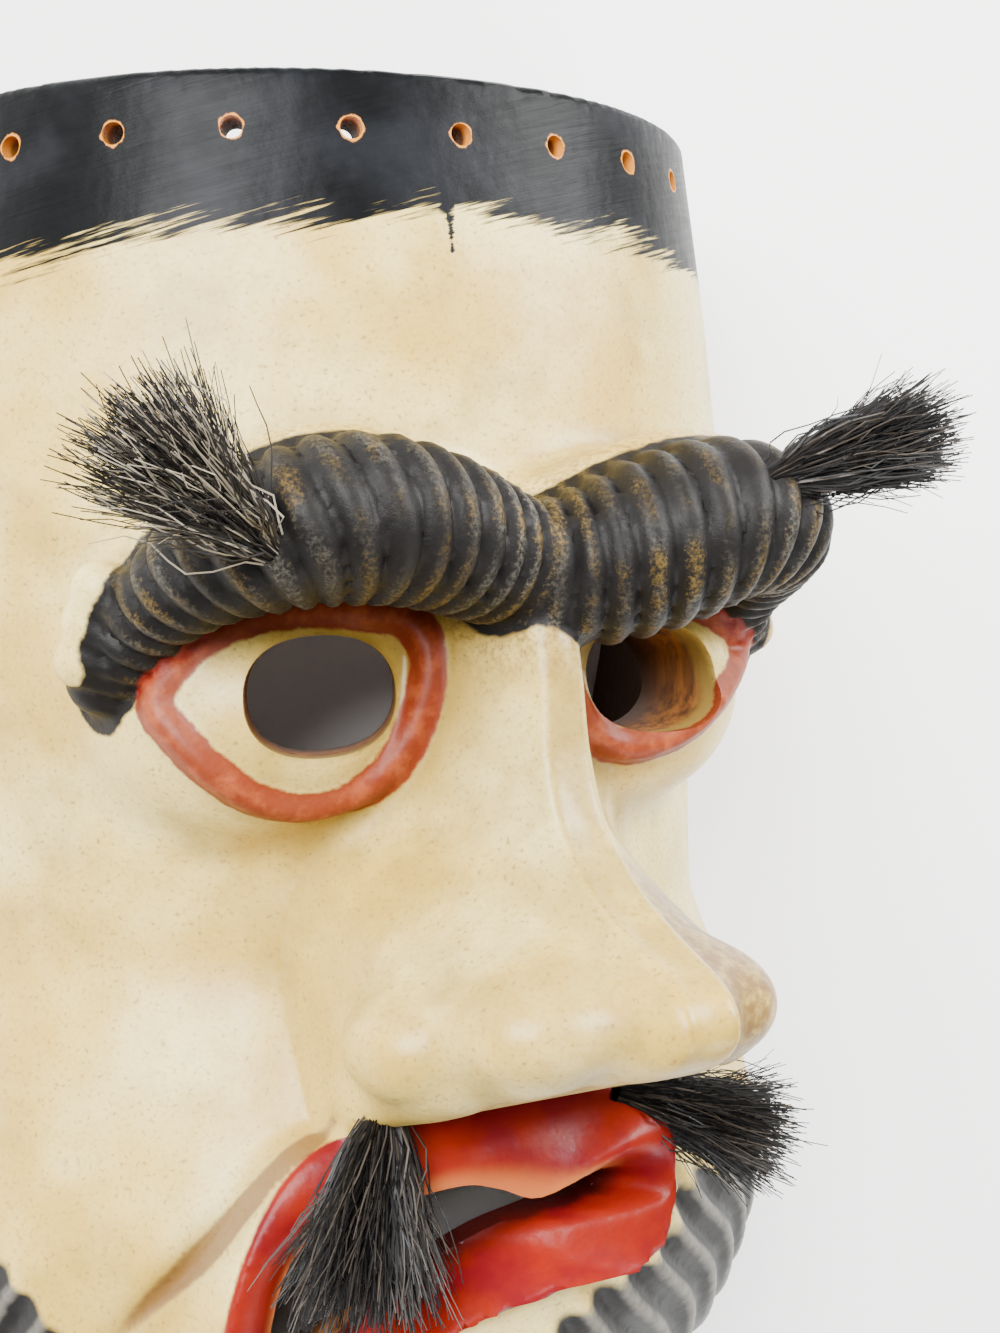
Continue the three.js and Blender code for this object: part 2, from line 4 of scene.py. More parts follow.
import bpy
import numpy as np
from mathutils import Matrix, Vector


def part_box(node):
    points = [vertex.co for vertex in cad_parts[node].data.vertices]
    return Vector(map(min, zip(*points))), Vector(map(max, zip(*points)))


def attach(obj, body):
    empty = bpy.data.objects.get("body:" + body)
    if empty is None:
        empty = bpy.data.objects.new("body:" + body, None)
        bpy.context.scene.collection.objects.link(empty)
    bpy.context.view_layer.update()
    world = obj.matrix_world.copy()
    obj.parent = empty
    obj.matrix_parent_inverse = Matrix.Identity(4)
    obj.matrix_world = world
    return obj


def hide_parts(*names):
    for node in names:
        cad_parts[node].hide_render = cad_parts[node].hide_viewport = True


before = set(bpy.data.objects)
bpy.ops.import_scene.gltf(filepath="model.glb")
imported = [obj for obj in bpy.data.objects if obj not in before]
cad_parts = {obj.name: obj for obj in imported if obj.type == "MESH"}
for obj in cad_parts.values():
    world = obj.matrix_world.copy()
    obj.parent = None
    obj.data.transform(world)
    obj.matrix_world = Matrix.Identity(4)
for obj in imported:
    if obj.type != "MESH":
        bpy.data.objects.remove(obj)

import openvdb
from mathutils import Matrix, Vector

bl_info = {
    "name": "Carved carnival mask",
    "version": (1, 0, 0),
    "blender": (4, 5, 0),
    "location": "View3D > Sidebar > Mask",
    "description": "Builds a carved and painted carnival mask with pegged hair tufts",
    "category": "Add Mesh",
}

MM = 0.001

# Sizes are in millimetres, in the frame of the head: X across, Y up the face, Z out of it.
LOW, HIGH = (np.array(corner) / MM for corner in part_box("mask_shell"))
TOP_Y = HIGH[1]
CHIN_Y = LOW[1]
ROUND_Y = -60.0
BARREL_POWER = 2.15
# Half barrel stations: level up the face, half width, depth in front of the back plane
BARREL = np.array([(-60, 93, 86), (-30, 86, 80), (-10, 80, 76), (12, 80, 77), (38, 85, 83), (60, 88, 86),
                   (90, 85.5, 86.5), (135, 81, 83.5)], float)

# Brow rolls from the middle outwards, right and left: point with its radius. The left one hangs lower.
BROW_TAIL = [(44, 58.5, 103, 11.5), (51.5, 54.5, 93, 9.2), (56.3, 48, 80, 7), (59.5, 41, 71, 6.2),
             (61, 35, 65, 5.6)]
BROWS = {
    -1: [(0, 52, 98, 9.5), (10, 55, 101, 11), (22, 58.5, 105, 12), (34, 60, 106.5, 12.5)] + BROW_TAIL,
    1: [(0, 51, 98, 10), (10, 52, 101, 12.6), (21, 55.5, 104.5, 14), (33, 59, 106, 13.4)] + BROW_TAIL,
}
BROW_POINTS = 33
# The wood behind a brow lies further down and back than its roll
BEHIND_BROW = np.array([0, -5, 11])
# How far the ribs lean round the roll, in ribs, and their depth along a brow, as a share
RIB_LEAN = 0.42
RIB_EASE = ((0.6, 1), (1, 0.75))
# Small carved lumps beside the tail of each brow
BROW_LUMPS = [(64, 51.2, 74), (65, 45.7, 71.5), (66, 39.7, 69.5)]
LUMP_RADIUS = 4.4

# Eye of one side: bulge, lid ring and the hole that the wearer looks through
EYE_AT = (35, 30, 64)
EYE_RADII = (27, 22.5, 24.5)
EYE_TURN = 0.42
LID_RIGHT = [(56.3, 32.3, 76.3), (53.8, 37.3, 77.3), (49, 41.8, 78.8), (42.2, 44.9, 80.4), (33.3, 46.2, 82),
             (23, 46, 83), (15.8, 44.7, 85), (13, 39.5, 87.5), (13.5, 32.7, 87.6), (16, 25.4, 86.1),
             (20.3, 19.5, 84.3), (26.9, 15.8, 82.5), (35.6, 14.7, 82), (43.6, 17.4, 81.9), (49.9, 22.4, 81.2),
             (54.2, 27.8, 79)]
# The left eye was carved a little smaller and higher
LID_LEFT = [(58, 36.9, 75.5), (54.3, 40.3, 78.5), (49, 42.5, 80), (42, 44.9, 81.5), (33.3, 46.2, 82.5),
            (23, 46, 83), (15.8, 44, 85), (13.2, 38.5, 87.5), (14, 31.5, 87.4), (16.8, 26, 86),
            (21, 22.3, 85.1), (26, 20.4, 85.4), (31.4, 21, 86.5), (38.6, 23.6, 86.8), (45.1, 27.6, 85.5),
            (53.5, 32.5, 79.8)]
LID_POINTS = 40
LID_RADIUS = 2.6
# The hole is cut square to the bulge: middle, half width and half height, how square its outline is, reach
EYE_HOLE_AT = (30.2, 32.6, 82)
EYE_HOLE_SIZE = (12.2, 9.8)
EYE_HOLE_POWER = 2.35
EYE_CUT_REACH = 34

# Nose: height of the ridge along the face, and the foot of its flanks (half width, height)
RIDGE = np.array([(-24, 136.5), (-20, 141.5), (-17, 143.2), (-14.4, 143), (-11.6, 141.5), (-7.8, 136),
                  (-4, 129.8), (0, 123), (5, 117), (12, 112), (18, 110), (25, 109), (32, 109), (39, 108.5),
                  (50, 104), (62, 96)], float)
FOOT = np.array([(-24, 30, 84), (-10, 30, 80), (0, 28, 80), (10, 24, 81), (20, 20, 83), (30, 16.3, 86),
                 (45, 13.5, 90), (62, 13, 88)], float)
# How far the flanks run on outwards and into the face, and where the nose ends between the brows
FLANK_FLARE = 1.15
FLANK_SINK = 9
NOSE_TOP = 56
# The slanting plane that cuts the nose off below: its level at the front, and the parts of its slant
UNDER_LEVEL, UNDER_FRONT = -19, 150
UNDER_UP, UNDER_OUT = 0.93, 0.29
# Crests and grooves lie along both sides of the ridge: place, width, and height as a share of the nose
CREST_AT, CREST_WIDTH, CREST_HEIGHT = 4.3, 2.1, 0.055
GROOVE_AT, GROOVE_WIDTH, GROOVE_DEPTH = 9, 2.8, 0.032
WING_AT = (26, -21, 103)
WING_RADII = (11.5, 9.5, 12.5)
WING_TURN = 0.35
LOBE_AT = (18, -17.5, 120.5)
LOBE_RADII = (9.5, 8.5, 11.5)
TIP_AT = (0, -15.5, 133)
TIP_RADII = (8, 7, 11)
NOSTRIL_AT = (12, -31, 116)
NOSTRIL_RADII = (6, 8, 11)

# Crooked mouth, round the lips from the left corner: their inner edge at the hole, and their outer edge
LIPS = [((18, -54, 84), (26.8, -46.1, 96)), ((16, -57, 82), (23.1, -66.3, 96)),
        ((7.4, -58.5, 82), (5.5, -68.7, 96)), ((-6.6, -61, 82), (-13.7, -72, 94)),
        ((-24, -69, 80), (-32, -84, 88)), ((-37, -79, 80), (-47, -91, 84)),
        ((-44, -76, 84), (-54, -80, 87)), ((-44.8, -66.7, 86), (-52.5, -63.2, 89)),
        ((-39.5, -55.7, 86), (-46.1, -48.8, 89)), ((-28, -50, 92), (-37, -40, 89)),
        ((-15.4, -47.4, 96), (-20, -36, 90)), ((-8, -49.2, 96), (-6, -35, 90)),
        ((-1, -51.7, 97), (4, -35, 90)), ((11.2, -49.4, 96), (18, -38, 90))]
LIP_POINTS = 84
MOUTH_AT = (-12, -60)
LIP_SWELL = 1.4
MOUTH_CUT_FROM, MOUTH_CUT_TO = 30, 130
MUZZLE_AT = (-10, -60, 66)
MUZZLE_RADII = (50, 34, 24)
# Crease from the right wing of the nose past the mouth
FOLD = [(-33.5, -36, 86.5), (-38.4, -39.9, 85.4), (-45, -45.4, 84.2), (-50.7, -52.5, 81.1),
        (-56.1, -58.7, 77.3), (-61.5, -65.7, 71.4), (-66.5, -74.5, 63.5)]
FOLD_POINTS = 16
FOLD_RADIUS = 2.0

# Upper edge of the beard, left of the mouth, right of it and under it: place across the face, level up it
BEARD_LEFT_FROM, BEARD_LEFT_LEVEL, BEARD_LEFT_FALL = 27, -52, 0.28
BEARD_RIGHT = np.array([(-90, -48), (-78, -58.5), (-71, -69), (-66, -78), (-52, -84)], float)
BEARD_UNDER = np.array([(-52, -88), (-20, -84), (5, -74), (27, -62)], float)
# Towards the back the edge climbs the jaw
BEARD_CLIMB_FROM, BEARD_CLIMB = 48, 0.4
# Locks run round an upright axis behind the chin and downwards, and sway as they go
LOCK_AXIS_X, LOCK_AXIS_Z, LOCK_TURN_RADIUS = -4, -25, 88
LOCK_ROUND, LOCK_DOWN = 0.75, 0.66
LOCK_SWAY, LOCK_SWAY_LENGTH = 0.8, 33

# Room inside for the wearer's nose and for one eye
NOSE_ROOM_AT = (0, -6, 84)
NOSE_ROOM_RADII = (15, 20, 30)
EYE_ROOM_AT = (33, 30, 55)
EYE_ROOM_RADII = (18, 15, 18)

# Carving: fine cells along a coarse one, points at a time, air round the head; then the hollow's own cell,
# its air, and how far it runs on past the back plane and the top
COARSE = 4
BATCH = 300000
MARGIN = 6
HOLLOW_VOXEL = 2.4
HOLLOW_MARGIN = 16
HOLLOW_RUN_ON = 9
# How far neighbouring parts of a roll blend, and how far off the surface hollows are felt for
ROLL_BLEND = 0.9
HOLLOW_PROBE = 3.5
SMOOTH_ANGLE = math.radians(42)

# Sewing holes round the band: level, angle from one to the next, angle of the middle one, in degrees
RIM_HOLE_COUNT = 13
RIM_HOLE_LEVEL = 125.0
RIM_HOLE_PITCH = 13.15
RIM_HOLE_OFFSET = -1.1
RIM_HOLE_RADIUS = 1.9
RIM_DRILL_FROM, RIM_DRILL_TO = 60, 100
# Sockets of the tufts, and how far the drill stands out of them
SOCKET_RADIUS = 2.5
SOCKET_DEPTH = 6.5
SOCKET_DRILL_OUT = 12

# Where the black hair band ends on the forehead: place across the face, level up it
HAIRLINE = np.array([(-95, 104), (-70, 105), (-45, 108), (-22, 109), (-6, 112.5), (-5, 105), (-4, 112.5),
                     (6, 112.5), (17, 109), (32, 111.5), (60, 108), (95, 107)], float)
BRUSH_SLANT = math.radians(16)

# Small nicks in the paint: place and radius
NICKS = [(-59, -3.5, 72, 1.1), (-71, 6, 61, 0.8), (-15, 128, 83, 1.4), (-12.5, 128, 83.5, 1.2)]

# Hair tufts: root on the wood, end of the fan, half width and half thickness of the fan, kind of hair
TUFTS = {
    "brow_tuft_right": ((-53, 57.7, 112), (-74, 72, 121), 9.5, 8.0, "grizzled"),
    "brow_tuft_left": ((40.5, 66, 115), (68.5, 73.5, 119.4), 7.0, 6.5, "black"),
    "moustache_tuft_right": ((-28, -36, 94.5), (-37, -61.5, 102), 12.0, 6.5, "black"),
    "moustache_tuft_left": ((23.5, -40.5, 91), (46, -49.3, 98.2), 7.5, 7.0, "black"),
}
# Each kind of hair: its dark and its pale colour, and the share of pale hairs
HAIRS = {"grizzled": ("#1d1a17", "#958b79", 0.3), "black": ("#0f0d0c", "#3d362f", 0.2)}
# How far bristles go down into the wood, and how wide the bundle is there; pieces of one bristle
TUFT_DEPTH = 5
TUFT_FOOT = 1.9
BRISTLE_STEPS = 7
HAIR_SEED = 40

# Stage, in metres: size and level of the floor; place, width and power of each light; where they aim
FLOOR_SIZE = 12
FLOOR_LEVEL = -0.0005
LIGHTS = {
    "key": ((-0.7, 0.5, 0.85), 0.8, 58),
    "side": ((0.6, 0.45, 0.6), 0.5, 24),
    "low": ((0.35, -0.75, 0.6), 0.6, 8),
}
LIGHT_AIM = Vector((0, 0, 0.07))
SKY_STRENGTH = 0.4

# Camera of the photograph: distance from the spine, swing, and aim, with its focal length
CAMERA_DISTANCE = 397.3
CAMERA_SWING = math.radians(23.0)
CAMERA_YAW = math.radians(-6.2)
CAMERA_PITCH = math.radians(2.0)
CAMERA_ROLL = math.radians(-2.1)
CAMERA_LEVEL = 47.0
LENS_MM = 51.3


# Small numeric tools
def smooth(start, end, value):
    t = np.clip((value - start) / (end - start), 0, 1)
    return t * t * (3 - 2 * t)


def through(stations, column, at):
    """Curve through stations (place, ...), read from one column, with no overshoot."""
    xs, ys = stations[:, 0], stations[:, column]
    step = np.diff(xs)
    slope = np.diff(ys) / step
    tangent = np.empty(len(xs))
    tangent[0], tangent[-1] = slope[0], slope[-1]
    for k in range(1, len(xs) - 1):
        before, after = slope[k - 1], slope[k]
        tangent[k] = 0 if before * after <= 0 else 2 * before * after / (before + after)
    x = np.clip(at, xs[0], xs[-1])
    i = np.clip(np.searchsorted(xs, x) - 1, 0, len(xs) - 2)
    h = step[i]
    t = (x - xs[i]) / h
    return ((1 + 2 * t) * (1 - t) ** 2 * ys[i] + t * (1 - t) ** 2 * h * tangent[i]
            + t * t * (3 - 2 * t) * ys[i + 1] + t * t * (t - 1) * h * tangent[i + 1])


def blend_in(a, b, k):
    h = np.clip(0.5 + 0.5 * (b - a) / k, 0, 1)
    return b * (1 - h) + a * h - k * h * (1 - h)


def cut_out(a, b, k):
    return -blend_in(-a, -b, k)


def spline(points, count, loop=False):
    """A smooth curve through given points, as count points."""
    p = np.array(points, float)
    if loop:
        p = np.vstack([p[-1], p, p[0], p[1]])
    else:
        p = np.vstack([2 * p[0] - p[1], p, 2 * p[-1] - p[-2]])
    spans = len(p) - 3
    s = np.arange(count) * spans / (count if loop else count - 1)
    i = np.minimum(s.astype(int), spans - 1)
    t = (s - i)[:, None]
    a, b, c, d = p[i], p[i + 1], p[i + 2], p[i + 3]
    return 0.5 * (2 * b + (c - a) * t + (2 * a - 5 * b + 4 * c - d) * t * t
                  + (3 * b - a - 3 * c + d) * t ** 3)


# Signed distances, negative in the wood
def ellipsoid(p, at, radii, turn=0.0):
    q = p - np.array(at, float)
    if turn:
        q = np.stack([math.cos(turn) * q[:, 0] - math.sin(turn) * q[:, 2], q[:, 1],
                      math.sin(turn) * q[:, 0] + math.cos(turn) * q[:, 2]], 1)
    r = np.array(radii, float)
    k0 = np.linalg.norm(q / r, axis=1)
    k1 = np.linalg.norm(q / r ** 2, axis=1) + 1e-9
    return k0 * (k0 - 1) / k1


def roll(p, line, radii, loop=False):
    """Distance to a roll of varying radius, and how far along it a point lies, 0 to 1."""
    nearest = np.full(len(p), 1e9)
    weights = np.full(len(p), 1e-30)
    along = np.zeros(len(p))
    count = len(line) if loop else len(line) - 1
    for i in range(count):
        j = (i + 1) % len(line)
        a, ab = line[i], line[j] - line[i]
        ap = p - a
        t = np.clip(ap @ ab / (ab @ ab), 0, 1)
        d = np.linalg.norm(ap - t[:, None] * ab, axis=1) - radii[i] - t * (radii[j] - radii[i])
        nearest = np.minimum(nearest, d)
        weight = np.exp(-np.clip(d / ROLL_BLEND, -60, 60))
        weights += weight
        along += weight * (i + t) / count
    return nearest, along / weights


def mirrored(p):
    q = p.copy()
    q[:, 0] = np.abs(q[:, 0])
    return q


def barrel(p, inset=0.0):
    """The half barrel with its rounded chin; inset moves it inwards."""
    a = through(BARREL, 1, p[:, 1]) - inset
    b = through(BARREL, 2, p[:, 1]) - inset
    c = ROUND_Y - CHIN_Y - inset
    q = np.maximum(ROUND_Y - p[:, 1], 0) / c
    k = np.abs(p[:, 0] / a) ** BARREL_POWER + np.abs(p[:, 2] / b) ** BARREL_POWER + q ** BARREL_POWER
    return ((k + 1e-12) ** (1 / BARREL_POWER) - 1) * a


def nose(q):
    """Hooked nose: two crests along a flat ridge, a groove down each flank, lobes, wings and nostrils."""
    side, y, z = q.T
    ridge = through(RIDGE, 1, y)
    half = through(FOOT, 1, y) * FLANK_FLARE
    low = through(FOOT, 2, y) - FLANK_SINK
    s = np.clip(side / half, 0, 1)
    full = smooth(12, -16, y)
    bell = 0.5 + 0.5 * np.cos(np.pi * s)
    dome = np.sqrt(1 - s * s)
    rounded = 0.3 + 0.5 * full
    carved = smooth(30, -4, y)
    crest = CREST_HEIGHT * np.exp(-((side - CREST_AT) / CREST_WIDTH) ** 2)
    groove = GROOVE_DEPTH * carved * np.exp(-((side - GROOVE_AT) / GROOVE_WIDTH) ** 2)
    g = bell * (1 - rounded) + dome * rounded + crest - groove
    above = (z - (low + (ridge - low) * g)) * 0.45
    below = (-(y - UNDER_LEVEL) * UNDER_UP - (UNDER_FRONT - z) * UNDER_OUT) * 0.9
    n = cut_out(above, below, 5)
    n = cut_out(n, (side - half) * 0.8, 4)
    n = cut_out(n, y - NOSE_TOP, 6)
    n = blend_in(n, ellipsoid(q, WING_AT, WING_RADII, WING_TURN), 6)
    n = blend_in(n, ellipsoid(q, LOBE_AT, LOBE_RADII), 6)
    n = blend_in(n, ellipsoid(q, TIP_AT, TIP_RADII), 6)
    return cut_out(n, -ellipsoid(q, NOSTRIL_AT, NOSTRIL_RADII), 2.5)


BROW_LINES = {side: spline(line, BROW_POINTS) for side, line in BROWS.items()}
LID_LINES = [spline([(-x, y, z) for x, y, z in LID_RIGHT], LID_POINTS, loop=True),
             spline(LID_LEFT, LID_POINTS, loop=True)]
LIP_IN, LIP_OUT = (spline(edge, LIP_POINTS, loop=True) for edge in zip(*LIPS))
FOLD_LINE = spline(FOLD, FOLD_POINTS)
# The crease runs out thin at both ends
FOLD_RADII = np.interp(np.linspace(0, 1, FOLD_POINTS),
                       (0, 0.15, 0.6, 1), (0.5, FOLD_RADIUS, FOLD_RADIUS, 0.3))


def brows(p, ribs, depth):
    """Distances to the plain brow rolls, the wood behind them and the ribbed rolls, and the ribs' height."""
    far_off = 30.0
    plain, behind, ribbed = (np.full(len(p), far_off) for _ in range(3))
    crest = np.zeros(len(p))
    near = p[:, 1] > 10
    for side, line in BROW_LINES.items():
        q = p[near] * (side, 1, 1)
        radii = line[:, 3]
        d, along = roll(q, line[:, :3], radii)
        centre = np.interp(along, np.linspace(0, 1, BROW_POINTS), line[:, 1])
        lean = np.clip((q[:, 1] - centre) / 12, -1.2, 1.2)
        wave = np.abs(np.sin(np.pi * (ribs * along - RIB_LEAN * lean))) ** 0.7
        cut = d + depth * (0.62 - wave) * np.interp(along, *RIB_EASE)
        crest[near] = np.where(d < plain[near], wave, crest[near])
        plain[near] = np.minimum(plain[near], d)
        ribbed[near] = np.minimum(ribbed[near], cut)
        behind[near] = np.minimum(behind[near], roll(q + BEHIND_BROW, line[:, :3], radii - 2)[0])
    return plain, behind, ribbed, crest


def lids(p):
    """Distance to the middle line of the lid rings."""
    return np.minimum(*(roll(p, line, np.zeros(LID_POINTS), True)[0] for line in LID_LINES))


def round_mouth(line, angle):
    """Radius and height of one edge of the lips, at an angle round the mouth."""
    out = line[:, :2] - MOUTH_AT
    at = np.arctan2(out[:, 1], out[:, 0])
    return (np.interp(angle, at, np.hypot(*out.T), period=2 * np.pi),
            np.interp(angle, at, line[:, 2], period=2 * np.pi))


def lips(p):
    """The lips' wood, the air in front of it, the distance from their outer edge, the place across."""
    dx, dy = p[:, 0] - MOUTH_AT[0], p[:, 1] - MOUTH_AT[1]
    angle, r = np.arctan2(dy, dx), np.hypot(dx, dy)
    r_in, z_in = round_mouth(LIP_IN, angle)
    r_out, z_out = round_mouth(LIP_OUT, angle)
    across = (r - r_in) / (r_out - r_in)
    t = np.clip(across, 0, 1)
    height = z_in + (z_out - z_in) * t + LIP_SWELL * 4 * t * (1 - t)
    rise = (p[:, 2] - height) * 0.75
    wood = np.maximum(rise, (r - r_out - 0.25 * (z_out - p[:, 2])) * 0.9)
    air = np.maximum(-rise, r - r_out)
    return wood, air, r - r_out, across


def beard_zone(p):
    """How much a point belongs to the carved beard, 0 to 1."""
    x, y, z = p.T
    left = BEARD_LEFT_LEVEL - BEARD_LEFT_FALL * np.maximum(x - BEARD_LEFT_FROM, 0)
    right = np.interp(x, *BEARD_RIGHT.T)
    under = np.interp(x, *BEARD_UNDER.T)
    limit = np.select([x > BEARD_LEFT_FROM, x < BEARD_UNDER[0, 0]], [left, right], under)
    return smooth(-1, 7, limit + BEARD_CLIMB * np.maximum(BEARD_CLIMB_FROM - z, 0) - y)


def locks(p, pitch):
    """Height of the wavy beard locks, which run down and outwards on each side."""
    around = np.arctan2(np.abs(p[:, 0] - LOCK_AXIS_X), p[:, 2] - LOCK_AXIS_Z) * LOCK_TURN_RADIUS
    across = LOCK_ROUND * around + LOCK_DOWN * p[:, 1]
    down = LOCK_DOWN * around - LOCK_ROUND * p[:, 1]
    sway = LOCK_SWAY * np.sin(2 * np.pi * down / LOCK_SWAY_LENGTH)
    return 0.5 + 0.5 * np.cos(2 * np.pi * (across + sway) / pitch)


def face(p, sizes):
    """The carved outside of the head."""
    q = mirrored(p)
    f = blend_in(barrel(p), ellipsoid(p, MUZZLE_AT, MUZZLE_RADII), 14)
    f = blend_in(f, ellipsoid(q, EYE_AT, EYE_RADII, EYE_TURN), 7)
    f = blend_in(f, nose(q), 7)
    f = blend_in(f, lids(p) - LID_RADIUS, 1.6)
    _, behind, ribbed, _ = brows(p, sizes["ribs"], sizes["rib_depth"])
    f = blend_in(blend_in(f, behind, 7), ribbed, 1.3)
    for lump in BROW_LUMPS:
        f = blend_in(f, np.linalg.norm(q - np.array(lump), axis=1) - LUMP_RADIUS, 2.5)
    f = cut_out(f, -roll(p, FOLD_LINE, FOLD_RADII)[0], 2)
    wood, air, _, _ = lips(p)
    f = cut_out(blend_in(f, wood, 2), -air, 0.8)
    return f + beard_zone(p) * sizes["lock_depth"] * (0.62 - locks(p, sizes["lock_pitch"]))


def hollow(p, wall):
    """The carved inside, with room for the wearer's nose and eyes."""
    q = mirrored(p)
    f = barrel(p, wall)
    f = blend_in(f, ellipsoid(p, NOSE_ROOM_AT, NOSE_ROOM_RADII), 10)
    return blend_in(f, ellipsoid(q, EYE_ROOM_AT, EYE_ROOM_RADII, EYE_TURN), 8)


def carve(form, low, high, voxel):
    """Meshes where a form is zero: worked out on a coarse grid first, then finely near the surface."""
    count = np.ceil((high - low) / (voxel * COARSE)).astype(int) + 1
    axes = [low[k] + voxel * COARSE * np.arange(count[k]) for k in range(3)]
    points = np.stack(np.meshgrid(*axes, indexing="ij"), -1).reshape(-1, 3)
    rough = form(points).reshape(count)
    near = np.abs(rough) < voxel * COARSE * 1.9
    fine = np.repeat(np.repeat(np.repeat(rough, COARSE, 0), COARSE, 1), COARSE, 2).astype(np.float32)
    cells = np.argwhere(near)
    block = np.stack(np.meshgrid(*[np.arange(COARSE)] * 3, indexing="ij"), -1).reshape(-1, 3)
    index = (cells[:, None, :] * COARSE + block[None]).reshape(-1, 3)
    for start in range(0, len(index), BATCH):
        part = index[start:start + BATCH]
        fine[part[:, 0], part[:, 1], part[:, 2]] = form(low + voxel * part)
    grid = openvdb.FloatGrid(background=float(voxel * COARSE))
    grid.copyFromArray(fine)
    vertices, quads = grid.convertToQuads(isovalue=0.0)
    return low + voxel * vertices, quads


def mesh_piece(name, vertices, faces):
    """A mesh object in metres from points in millimetres."""
    mesh = bpy.data.meshes.new(name)
    mesh.from_pydata([tuple(v) for v in np.asarray(vertices) * MM], [], [tuple(f) for f in faces])
    mesh.update()
    piece = bpy.data.objects.new(name, mesh)
    bpy.context.collection.objects.link(piece)
    return piece


def select_only(piece):
    bpy.ops.object.select_all(action="DESELECT")
    piece.select_set(True)
    bpy.context.view_layer.objects.active = piece


def outwards(piece):
    """Turns the faces of a closed piece so that they point out of it."""
    select_only(piece)
    bpy.ops.object.mode_set(mode="EDIT")
    bpy.ops.mesh.select_all(action="SELECT")
    bpy.ops.mesh.normals_make_consistent(inside=False)
    bpy.ops.object.mode_set(mode="OBJECT")


def cut_with(piece, cutter):
    """Cuts one closed piece out of another and deletes it."""
    select_only(piece)
    cut = piece.modifiers.new("cut", "BOOLEAN")
    cut.operation = "DIFFERENCE"
    cut.object = cutter
    cut.solver = "MANIFOLD"
    before = len(piece.data.polygons)
    bpy.ops.object.modifier_apply(modifier=cut.name)
    if len(piece.data.polygons) == before:
        raise RuntimeError(f"{cutter.name} cut nothing")
    bpy.data.objects.remove(cutter, do_unlink=True)


def thinned(piece, ratio):
    """Leaves fewer faces where the surface is calm."""
    select_only(piece)
    thin = piece.modifiers.new("thin", "DECIMATE")
    thin.ratio = ratio
    bpy.ops.object.modifier_apply(modifier=thin.name)


def drill(name, start, end, radius, sides=20):
    """A round cutter between two points."""
    a, b = Vector(start) * MM, Vector(end) * MM
    bpy.ops.object.select_all(action="DESELECT")
    bpy.ops.mesh.primitive_cylinder_add(vertices=sides, radius=radius * MM, depth=(b - a).length,
                                        location=(a + b) / 2,
                                        rotation=(b - a).to_track_quat("Z", "Y").to_euler())
    bit = bpy.context.object
    bit.name = name
    bpy.ops.object.transform_apply(location=True, rotation=True, scale=True)
    return bit


def prism(name, outline, low, high):
    """A straight cutter along Z with a smooth outline."""
    bpy.ops.object.select_all(action="DESELECT")
    ring = spline([(x, y, 0) for x, y in outline], 64, loop=True)
    n = len(ring)
    vertices = [(x, y, low) for x, y, _ in ring] + [(x, y, high) for x, y, _ in ring]
    faces = [tuple(range(n - 1, -1, -1)), tuple(range(n, 2 * n))]
    faces += [(k, (k + 1) % n, n + (k + 1) % n, n + k) for k in range(n)]
    cutter = mesh_piece(name, vertices, faces)
    outwards(cutter)
    return cutter


def joined(pieces):
    bpy.ops.object.select_all(action="DESELECT")
    for piece in pieces:
        piece.select_set(True)
    bpy.context.view_layer.objects.active = pieces[0]
    bpy.ops.object.join()
    return bpy.context.object


def rim_hole_way(i):
    """The way that one sewing hole points, as its X and Z parts."""
    angle = math.radians(RIM_HOLE_OFFSET + RIM_HOLE_PITCH * (i - (RIM_HOLE_COUNT - 1) / 2))
    return math.sin(angle), math.cos(angle)


def superellipse(half_width, half_height, power):
    """An oval outline, squarer as power grows."""
    points = []
    for k in range(24):
        c, s = math.cos(k * math.pi / 12), math.sin(k * math.pi / 12)
        size = (abs(c) ** power + abs(s) ** power) ** (-1 / power)
        points.append((half_width * c * size, half_height * s * size))
    return points


def vectors(piece, name):
    """The place or the normal of each point of a piece."""
    values = np.empty(len(piece.data.vertices) * 3)
    piece.data.vertices.foreach_get(name, values)
    return values.reshape(-1, 3)


def store(piece, name, values):
    """Keeps a value at each point of a piece, for its material to read."""
    attribute = piece.data.attributes.new(name, "FLOAT", "POINT")
    attribute.data.foreach_set("value", np.ascontiguousarray(values, np.float32))


# Colours and shader nodes
def linear(hex_colour):
    parts = [int(hex_colour[i:i + 2], 16) / 255 for i in (1, 3, 5)]
    return tuple(c / 12.92 if c <= 0.04045 else ((c + 0.055) / 1.055) ** 2.4 for c in parts) + (1.0,)


